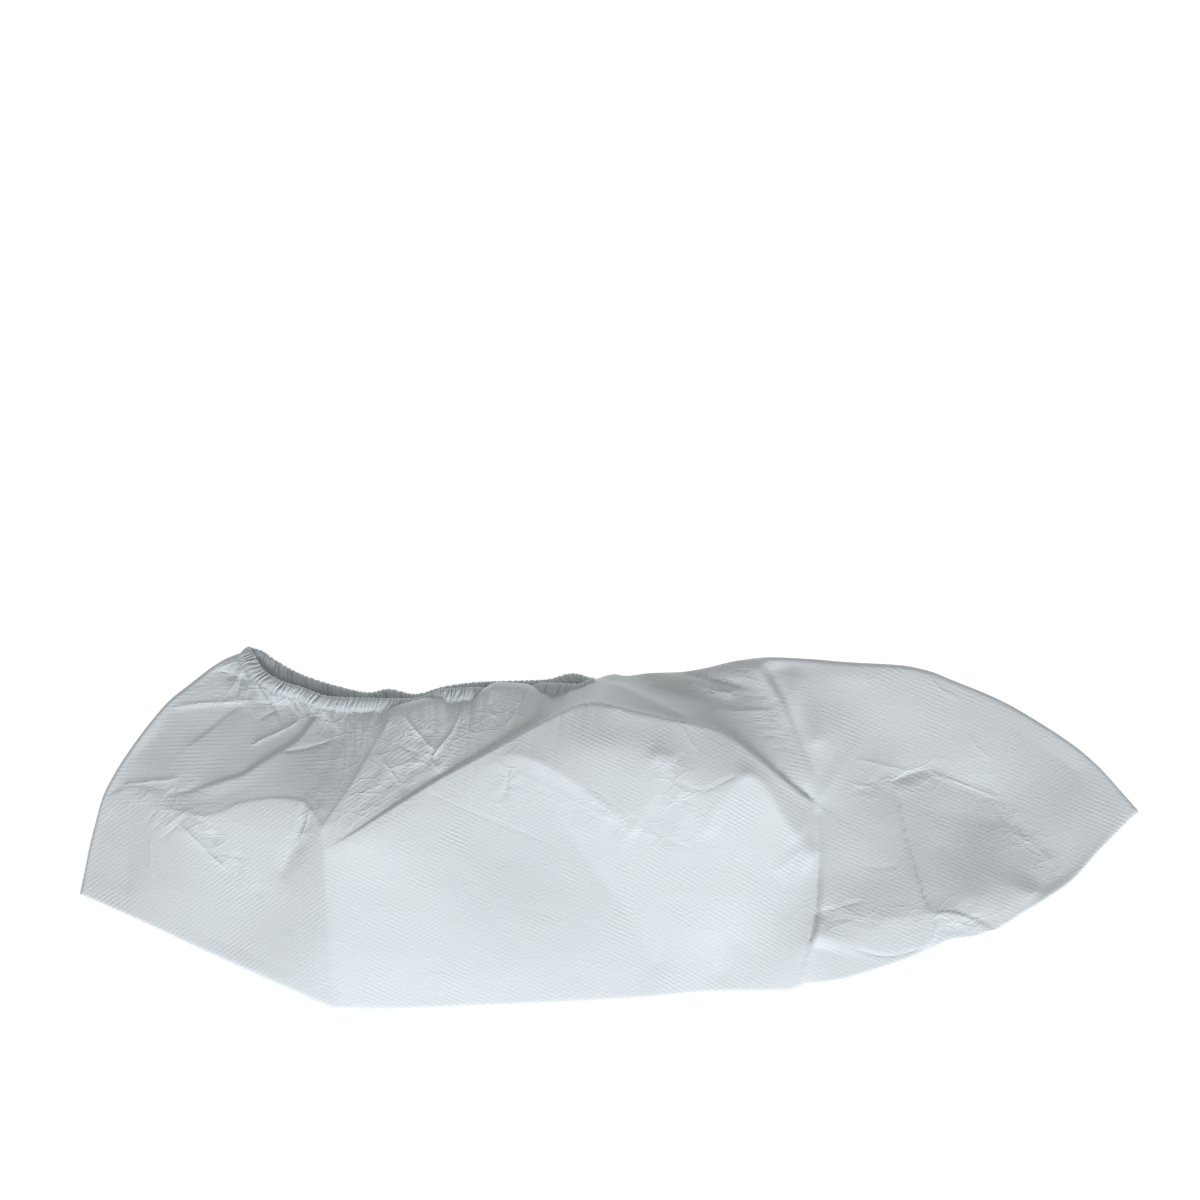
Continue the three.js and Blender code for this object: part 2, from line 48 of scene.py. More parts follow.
SOLE_EDGE = (  # place, x, y
    ("heel corner", -200, -24.8),
    ("heel corner, round", -196, -26.6),
    ("heel side", -173.5, -36.7),
    ("heel side, middle", -154.6, -45.7),
    ("heel side, front", -116.8, -62.7),
    ("sole corner", -108.5, -66.4),
    ("sole corner, round", -101.5, -68.6),
    ("waist back", -86.6, -68.8),
    ("waist", -41.2, -67.3),
    ("waist front", -7.2, -65.8),
    ("ball back", 15.5, -64.3),
    ("ball", 42, -62.2),
    ("ball front", 69, -61.8),
    ("ball notch", 73.5, -59.9),
    ("tread", 87.3, -57.8),
    ("tread front", 98.7, -54.4),
    ("toe underside", 110, -50.7),
    ("toe pleat back", 122, -45.7),
    ("toe pleat", 128.9, -42.3),
    ("toe pleat front", 136.5, -41.2),
    ("toe bend", 144, -39.2),
    ("toe rise", 155.4, -32.5),
    ("toe front", 166.7, -25.3),
    ("toe front, high", 174.3, -20),
    ("toe point back", 185.6, -7.9),
    ("toe point", 200, 6.2),
)
HEEL_EDGE = (  # place, x, y
    ("heel corner", -200, -24.2),
    ("heel low", -198.5, -17.4),
    ("heel", -196.2, -6),
    ("heel middle", -194.3, 1.5),
    ("heel high", -191.3, 12.1),
    ("counter low", -186.7, 21.2),
    ("counter", -181.1, 29.9),
    ("counter middle", -173.5, 40.1),
    ("counter high", -165.9, 48.8),
    ("counter top", -158.4, 54.8),
    ("collar back", -148.9, 62),
    ("collar", -144, 64.8),
    ("hem corner", -138.5, 67),
)
INSTEP_EDGE = (  # place, x, y
    ("hem end", -4.5, 57),
    ("instep pleat", 2.3, 58.6),
    ("instep dip", 6, 57.9),
    ("instep", 15.5, 59),
    ("instep middle", 26.8, 59.4),
    ("instep rise", 34.4, 60.5),
    ("instep crown", 49.5, 63.9),
    ("vamp back", 60.9, 65),
    ("vamp", 76, 64.3),
    ("vamp middle", 91.1, 63.1),
    ("vamp front", 110, 62),
    ("toe top back", 121.3, 59.7),
    ("toe top", 128.9, 56.7),
    ("toe slope", 147.8, 48.8),
    ("toe slope, low", 166.7, 37.8),
    ("toe cap", 178, 29.9),
    ("toe cap, low", 185.6, 23.1),
    ("toe cap end", 193.2, 14.7),
    ("toe point", 200, 7),
)
FAR_RIM = (  # place, x, y of the opening's rim on the side that lies below
    ("hem corner", -135.4, 68.6),
    ("hem corner, round", -131.2, 67.4),
    ("back", -126.3, 64),
    ("back, middle", -115.7, 58.3),
    ("side back", -101.7, 53.8),
    ("side", -90.3, 51.6),
    ("side hump", -83.5, 52.9),
    ("side dip", -73.5, 51),
    ("side middle", -62, 53.9),
    ("side front", -48.8, 55.6),
    ("front", -24.2, 56.4),
    ("front hump", -13.6, 58.8),
    ("hem end", -6.4, 57),
)
TOE_RISE = (  # place, x, how far the sole's sewn edge stands up off the table
    ("tread", 74, 0),
    ("toe foot", 90, 1.8),
    ("toe underside", 108, 4),
    ("toe pleat", 126, 6),
    ("toe bend", 142, 7.2),
    ("toe front", 160, 7.4),
    ("toe front, high", 178, 5),
    ("toe point", 196, 0.8),
)
TOP_RISE = (  # place, x, how far the sewn edge of the heel and instep stands up off the table
    ("heel corner", -200, 0),
    ("heel", -192, 1.2),
    ("counter", -175, 2.2),
    ("collar", -148, 2),
    ("hem corner", -138, 0.4),
    ("hem end", -5, 0.3),
    ("instep", 12, 1.2),
    ("instep, high", 40, 2.6),
    ("instep roll", 56, 3.4),
    ("vamp", 72, 1.8),
    ("toe crown", 84, 1.2),
    ("toe slope", 150, 0.8),
    ("toe point", 196, 0.4),
)
RISE_REACH = 17
OPENING_RAMP = 2.5  # how far in x the panel's edge takes to reach the hem
DRAW_IN = {"opening": 6, "ends": 18}  # how far off the columns of a grid begin to draw together
EDGE_ROW = 0.0025  # of a column's length, the narrow row along each edge
DIP = {"spread": 8, "broad_from": 0.45, "sharp_from": 0.88}  # how the rows share in a dip of the opening
UNDER_GRID = {"columns": 240, "rows": 64}
UNDER_LIFT = 0.25
UNDER_TUCK = 3.4  # of the side below into the hem
RIPPLE = {"height": 0.25, "length": 9.3, "waver": 0.4, "waver_length": 7, "breadth": 11.7, "inset": 12}


def through(rows, at):
    """A smooth curve through the last two columns of the rows, which never swings past a row."""
    x = np.array([row[-2] for row in rows], float)
    y = np.array([row[-1] for row in rows], float)
    slope = np.diff(y) / np.diff(x)
    before = np.concatenate((slope[:1], slope))
    after = np.concatenate((slope, slope[-1:]))
    same_way = before * after > 0
    tangent = np.where(same_way, 2 * before * after / np.where(same_way, before + after, 1), 0)
    at = np.clip(at, x[0], x[-1])
    k = np.clip(np.searchsorted(x, at, side="right") - 1, 0, len(x) - 2)
    span = x[k + 1] - x[k]
    t = (at - x[k]) / span
    ends = (2 * t**3 - 3 * t**2 + 1) * y[k] + (3 * t**2 - 2 * t**3) * y[k + 1]
    return ends + span * ((t**3 - 2 * t**2 + t) * tangent[k] + (t**3 - t**2) * tangent[k + 1])


def column_through(rows, column, at):
    """A smooth curve through one column of the rows, by the x of each row."""
    return through([(row[1], row[column]) for row in rows], at)


def smooth(t):
    t = np.clip(t, 0, 1)
    return t * t * (3 - 2 * t)


def running(lengths):
    """How far along each place is, from the lengths between the places."""
    return np.concatenate([[0], np.cumsum(lengths)])


def risen(x, y):
    """How far the side below stands up off the table near its edges."""
    at_sole = through(TOE_RISE, x) * (1 - smooth((y - through(SOLE_EDGE, x)) / RISE_REACH))
    at_top = through(TOP_RISE, x) * (1 - smooth((through(HEEL_EDGE + INSTEP_EDGE, x) - y) / RISE_REACH))
    return at_sole + at_top


def cut_columns(count, at_opening):
    """The x of each column of a panel's grid, closer together at the heel, the toe and the opening."""
    x = np.linspace(-LENGTH / 2, LENGTH / 2, 4001)
    within = np.clip(np.minimum(x - HEEL_EDGE[-1][-2], INSTEP_EDGE[0][-2] - x) / DRAW_IN["opening"] + 1, 0, 1)
    closeness = 1 + np.exp((np.abs(x) - LENGTH / 2) / DRAW_IN["ends"]) + at_opening * within
    mile = running(closeness[1:] + closeness[:-1])
    return np.interp(np.linspace(0, mile[-1], count + 1), mile, x)


def opens(x):
    """0 where the panels are sewn to each other, and 1 along the opening."""
    return np.clip(np.minimum(x - HEEL_EDGE[-1][-2], INSTEP_EDGE[0][-2] - x) / OPENING_RAMP, 0, 1)


def top_edge(x, at_hem):
    """The upper edge of a panel: heel, then the edge that is sewn into the hem, then instep."""
    seam = np.where(x < -LENGTH / 4, through(HEEL_EDGE, x), through(INSTEP_EDGE, x))
    return seam + (through(at_hem, x) - seam) * opens(x)


def cut_rows(x, low, high, rows):
    """The y of each place of a panel's grid: even rows, which take up the dip of the opening near the top."""
    share = np.concatenate([[0], np.linspace(EDGE_ROW, 1 - EDGE_ROW, rows - 1), [1]])
    above = through(HEEL_EDGE + INSTEP_EDGE, x)
    near = np.exp(-(((x[:, None] - x) / DIP["spread"]) ** 2)) * np.gradient(x)
    dip = near @ (high - above) / near.sum(axis=1)
    dip *= smooth((LENGTH / 2 - np.abs(x)) / 20)
    sharp = high - above - dip
    broad_rise = smooth((share - DIP["broad_from"]) / (1 - DIP["broad_from"]))
    sharp_rise = smooth((share - DIP["sharp_from"]) / (1 - DIP["sharp_from"]))
    even = low[:, None] + (above - low)[:, None] * share
    return even + dip[:, None] * broad_rise + sharp[:, None] * sharp_rise


def grid_mesh(name, columns, rows):
    """A flat grid of cloth as a mesh object, with the vertex number of each column and row."""
    bm = bmesh.new()
    bmesh.ops.create_grid(bm, x_segments=columns, y_segments=rows, size=1)
    mesh = bpy.data.meshes.new(name)
    bm.to_mesh(mesh)
    bm.free()
    piece = bpy.data.objects.new(name, mesh)
    bpy.context.scene.collection.objects.link(piece)
    flat = np.empty(len(mesh.vertices) * 3)
    mesh.vertices.foreach_get("co", flat)
    flat = flat.reshape(-1, 3)
    order = np.lexsort((np.round((flat[:, 1] + 1) * rows / 2), np.round((flat[:, 0] + 1) * columns / 2)))
    return piece, order.reshape(columns + 1, rows + 1)


def place_vertices(piece, number, x, y, z):
    """Moves each vertex of a grid to its place, given in millimetres."""
    place = np.empty((number.size, 3))
    place[number.ravel()] = np.stack([x.ravel(), y.ravel(), z.ravel()], axis=1) * MM
    piece.data.vertices.foreach_set("co", place.ravel())
    piece.data.update()
    piece.data.shade_smooth()


under_panel, number = grid_mesh("under_side_cloth", UNDER_GRID["columns"], UNDER_GRID["rows"])
column_x = cut_columns(UNDER_GRID["columns"], 0)
low = through(SOLE_EDGE, column_x)
high = top_edge(column_x, [(x, y - UNDER_TUCK) for _, x, y in FAR_RIM])
under_y = cut_rows(column_x, low, high, UNDER_GRID["rows"])
under_x = np.repeat(column_x[:, None], under_y.shape[1], axis=1)
share = (under_y - low[:, None]) / (high - low)[:, None]
under_inset = np.minimum(1, np.minimum(share, 1 - share) * RIPPLE["inset"])
waver = RIPPLE["waver"] * np.sin(under_y / RIPPLE["waver_length"])
ripple = np.sin(under_x / RIPPLE["length"] + waver) * np.cos(under_y / RIPPLE["breadth"])
under_z = UNDER_LIFT + RIPPLE["height"] * under_inset * (1 + ripple)
place_vertices(under_panel, number, under_x, under_y, under_z + risen(under_x, under_y))


def embossed_ribs():
    """Fine ribs pressed into the laminate in two directions, and sharp creases where it was crushed."""
    group = bpy.data.node_groups.new("embossed ribs", "ShaderNodeTree")
    for name in ("Cloth", "Object", "Creased"):
        group.interface.new_socket(name, in_out="INPUT", socket_type="NodeSocketVector")
    for name in ("Height", "Mottle"):
        group.interface.new_socket(name, in_out="OUTPUT", socket_type="NodeSocketFloat")
    nodes, links = group.nodes, group.links
    given, result = nodes.new("NodeGroupInput"), nodes.new("NodeGroupOutput")
    split, crease_at = nodes.new("ShaderNodeSeparateXYZ"), nodes.new("ShaderNodeSeparateXYZ")
    links.new(given.outputs["Cloth"], split.inputs[0])
    links.new(given.outputs["Creased"], crease_at.inputs[0])

    def math_node(operation, first, second=None, third=None):
        node = nodes.new("ShaderNodeMath")
        node.operation = operation
        for socket, value in zip(node.inputs, (first, second, third)):
            if value is None:
                continue
            if isinstance(value, (int, float)):
                socket.default_value = value
            else:
                links.new(value, socket)
        return node.outputs[0]

    def noise(scale, detail, source):
        node = nodes.new("ShaderNodeTexNoise")
        node.inputs["Scale"].default_value = scale
        node.inputs["Detail"].default_value = detail
        links.new(source, node.inputs["Vector"])
        return node.outputs["Fac"]

    def creases(scale, thin):
        """Thin raised lines where small patches of the crushed cloth meet."""
        node = nodes.new("ShaderNodeTexVoronoi")
        node.feature = "DISTANCE_TO_EDGE"
        node.inputs["Scale"].default_value = scale
        links.new(drawn_out.outputs["Vector"], node.inputs["Vector"])
        line = nodes.new("ShaderNodeMapRange")
        line.interpolation_type = "SMOOTHSTEP"
        line.inputs["From Max"].default_value = thin
        line.inputs["To Min"].default_value = 1
        line.inputs["To Max"].default_value = 0
        links.new(node.outputs["Distance"], line.inputs["Value"])
        return line.outputs["Result"]

    bend = nodes.new("ShaderNodeTexNoise")
    bend.inputs["Scale"].default_value = 120
    links.new(given.outputs["Object"], bend.inputs["Vector"])
    bent = nodes.new("ShaderNodeVectorMath")
    bent.operation = "MULTIPLY_ADD"
    bent.inputs[1].default_value = (0.006, 0.006, 0.006)
    links.new(bend.outputs["Color"], bent.inputs[0])
    links.new(given.outputs["Object"], bent.inputs[2])

    drawn_out = nodes.new("ShaderNodeMapping")
    drawn_out.inputs["Rotation"].default_value = (0, 0, math.radians(28))
    drawn_out.inputs["Scale"].default_value = (0.45, 1, 1)
    links.new(bent.outputs["Vector"], drawn_out.inputs["Vector"])

    # The ribs wander a little, a second set crosses them, and which of the two stands out changes.
    wander = math_node("MULTIPLY", noise(170, 2, given.outputs["Object"]), 4.2)
    ribs = math_node("SINE", math_node("ADD", math_node("MULTIPLY", split.outputs["Y"], math.tau), wander))
    crossing = math.radians(54)
    slanted = math_node("MULTIPLY", split.outputs["Y"], math.tau * math.cos(crossing))
    slanted = math_node("MULTIPLY_ADD", split.outputs["X"], -math.tau * math.sin(crossing), slanted)
    cross = math_node("SINE", math_node("SUBTRACT", slanted, wander))
    share = math_node("MULTIPLY_ADD", noise(45, 2, given.outputs["Object"]), 2.2, -0.3)
    cross = math_node("MULTIPLY", cross, math_node("SUBTRACT", 0.95, share))
    both = math_node("MULTIPLY_ADD", ribs, share, cross)
    # They are worn down in patches, and the cloth has a fine grain of its own.
    worn = math_node("MULTIPLY_ADD", noise(95, 3, given.outputs["Object"]), 2.6, -0.65)
    worn = math_node("MINIMUM", math_node("MAXIMUM", worn, 0.12), 1.3)
    both = math_node("MULTIPLY", both, worn)
    crisp = noise(1100, 3, given.outputs["Object"])
    height = math_node("ADD", both, math_node("MULTIPLY", crisp, 2.0))
    # Where it was crushed it keeps two sizes of small creases.
    crushing = math_node("MULTIPLY", creases(420, 0.12), 2.4)
    crushing = math_node("MULTIPLY_ADD", creases(170, 0.07), 5.5, crushing)
    height = math_node("MULTIPLY_ADD", crushing, crease_at.outputs["Z"], height)
    # Along a sharp crease runs a thin line that wavers and breaks off.
    aside = math_node("MULTIPLY_ADD", noise(140, 3, given.outputs["Object"]), 1.8, -0.9)
    aside = math_node("ABSOLUTE", math_node("ADD", aside, crease_at.outputs["X"]))
    broken = math_node("MULTIPLY_ADD", noise(210, 2, given.outputs["Object"]), 3.4, -0.8)
    broken = math_node("MULTIPLY", math_node("MAXIMUM", broken, 0.15), crease_at.outputs["Y"])
    ridge = math_node("MULTIPLY", math_node("EXPONENT", math_node("MULTIPLY", aside, -3.0)), broken)
    height = math_node("MULTIPLY_ADD", ridge, MM / RIB_DEPTH, height)
    links.new(height, result.inputs["Height"])
    links.new(noise(28, 3, given.outputs["Object"]), result.inputs["Mottle"])
    return group


RIB_DEPTH = 0.000024  # metres
EMBOSSING = embossed_ribs()


def tinted(nodes, links, factor, dark, light):
    """A colour between two, by a factor from 0 to 1."""
    tint = nodes.new("ShaderNodeMix")
    tint.data_type = "RGBA"
    tint.inputs["A"].default_value = (*dark, 1)
    tint.inputs["B"].default_value = (*light, 1)
    links.new(factor, tint.inputs["Factor"])
    return tint.outputs["Result"]


def laminate(name, light, dark, rib_depth, roughness):
    """White film laminate: a faint cool mottle, a soft gloss, and its embossing as relief."""
    material = bpy.data.materials.new(name)
    material.use_nodes = True
    nodes, links = material.node_tree.nodes, material.node_tree.links
    shader = nodes["Principled BSDF"]
    shader.inputs["Specular IOR Level"].default_value = 0.45
    shader.inputs["Sheen Weight"].default_value = 0.08
    shader.inputs["Sheen Roughness"].default_value = 0.6
    place = nodes.new("ShaderNodeTexCoord")
    effect = nodes.new("ShaderNodeGroup")
    effect.node_tree = EMBOSSING
    links.new(place.outputs["UV"], effect.inputs["Cloth"])
    links.new(place.outputs["Object"], effect.inputs["Object"])
    creased = nodes.new("ShaderNodeAttribute")
    creased.attribute_name = "creased"
    links.new(creased.outputs["Vector"], effect.inputs["Creased"])
    colour = tinted(nodes, links, effect.outputs["Mottle"], dark, light)
    links.new(colour, shader.inputs["Base Color"])
    rough = nodes.new("ShaderNodeMapRange")
    rough.inputs["To Min"].default_value = roughness - 0.06
    rough.inputs["To Max"].default_value = roughness + 0.08
    links.new(effect.outputs["Mottle"], rough.inputs["Value"])
    links.new(rough.outputs["Result"], shader.inputs["Roughness"])
    relief = nodes.new("ShaderNodeBump")
    relief.inputs["Strength"].default_value = 1.0
    relief.inputs["Distance"].default_value = rib_depth
    links.new(effect.outputs["Height"], relief.inputs["Height"])
    links.new(relief.outputs["Normal"], shader.inputs["Normal"])
    return material


WHITE, WHITE_SHADE = (0.785, 0.84, 0.885), (0.74, 0.795, 0.845)
laminate_white = laminate("white laminate", WHITE, WHITE_SHADE, RIB_DEPTH, 0.52)


def lay_ribs(piece, angle_of):
    """Gives the cloth its own map: V counts the ribs, turned as each face's cut is, and U runs along them."""
    mesh = piece.data
    corner = np.empty(len(mesh.loops), dtype=np.int64)
    mesh.loops.foreach_get("vertex_index", corner)
    flat = np.empty(len(mesh.vertices) * 3)
    mesh.vertices.foreach_get("co", flat)
    at = flat.reshape(-1, 3)[corner] / MM
    middle = at.reshape(-1, 4, 3).mean(axis=1)
    turn = np.repeat(np.radians(angle_of(middle[:, 0], middle[:, 1])), 4)
    along = (at[:, 0] * np.cos(turn) + at[:, 1] * np.sin(turn)) / RIB_PITCH * np.where(turn > 0, -1, 1)
    across = (at[:, 1] * np.cos(turn) - at[:, 0] * np.sin(turn)) / RIB_PITCH
    cloth = mesh.uv_layers.new(name="cloth")
    cloth.data.foreach_set("uv", np.stack([along, across], axis=1).ravel())


RIB_PITCH = 1.48  # in millimetres
lay_ribs(under_panel, lambda x, y: np.full_like(x, -12.0))
under_panel.data.materials.append(laminate_white)
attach(under_panel, "root")
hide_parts("under_side_panel")

# ---------------------------------------------------------------- the upper side panel
# The mirror cut, sewn to the first. It stands up over the air inside in flat facets between the creases of
# its packet, doubles over itself along a tongue beside the opening, and is gathered where it meets the hem.
UPPER_GRID = {"columns": 680, "rows": 144}
SEAM_TOP = 1.35
PUFF = 0.0024  # how much the cloth between two folds bellies, 1/mm
NEAR_RIM = (  # place, x, y of the rim on the side that lies on top, z of its hem
    ("hem corner", -135.8, 68.6, 3.8),
    ("back, top", -134.2, 66.4, 4.4),
    ("back", -130.5, 60.6, 5.2),
    ("back, middle", -124.4, 56.4, 6),
    ("side back", -116.6, 53.9, 6.8),
    ("side back, low", -105, 50.2, 7.8),
    ("side", -94, 49.6, 8.4),
    ("side middle", -82, 49.4, 8.2),
    ("side front", -74, 49.4, 7.6),
    ("side front, end", -62, 53, 8),
    ("front back", -50, 53.6, 8),
    ("front", -34, 53.2, 7.6),
    ("front, middle", -24, 55.4, 7.6),
    ("front, end", -12, 54.9, 6.4),
    ("hem end", -6.4, 57.2, 4.4),
)
CLOTH_AT_HEM = (  # place, x, y of the cloth's edge, how far it lies over the casing (1) or under it (0)
    ("hem corner", -139, 63, 0),
    ("back", -131, 54.6, 0),
    ("back, middle", -124.4, 51.4, 0),
    ("side back", -116.6, 48.9, 0),
    ("side back, low", -105, 45.6, 0),
    ("side", -94, 44.8, 0),
    ("side, end", -86, 45.4, 0),
    ("flap back", -79, 47.4, 0.9),
    ("flap", -75.2, 48.4, 1),
    ("flap front", -67.7, 49.8, 1),
    ("pits back", -63.4, 49.8, 0.8),
    ("pits", -60.8, 48, 0.1),
    ("pits, front", -53.5, 48.4, 0.1),
    ("roll back", -50.6, 50.4, 0.8),
    ("roll, rise", -47, 53.4, 1),
    ("roll", -42.4, 55.6, 1),
    ("roll front", -32.6, 55.3, 1),
    ("roll, fall", -28.4, 54, 1),
    ("roll end", -24.2, 51.8, 0.8),
    ("front", -20.4, 50.8, 0.2),
    ("front, middle", -16.4, 52.6, 0.7),
    ("front, end", -12, 53.6, 0.9),
    ("hem end", -6.4, 56.2, 0.6),
)
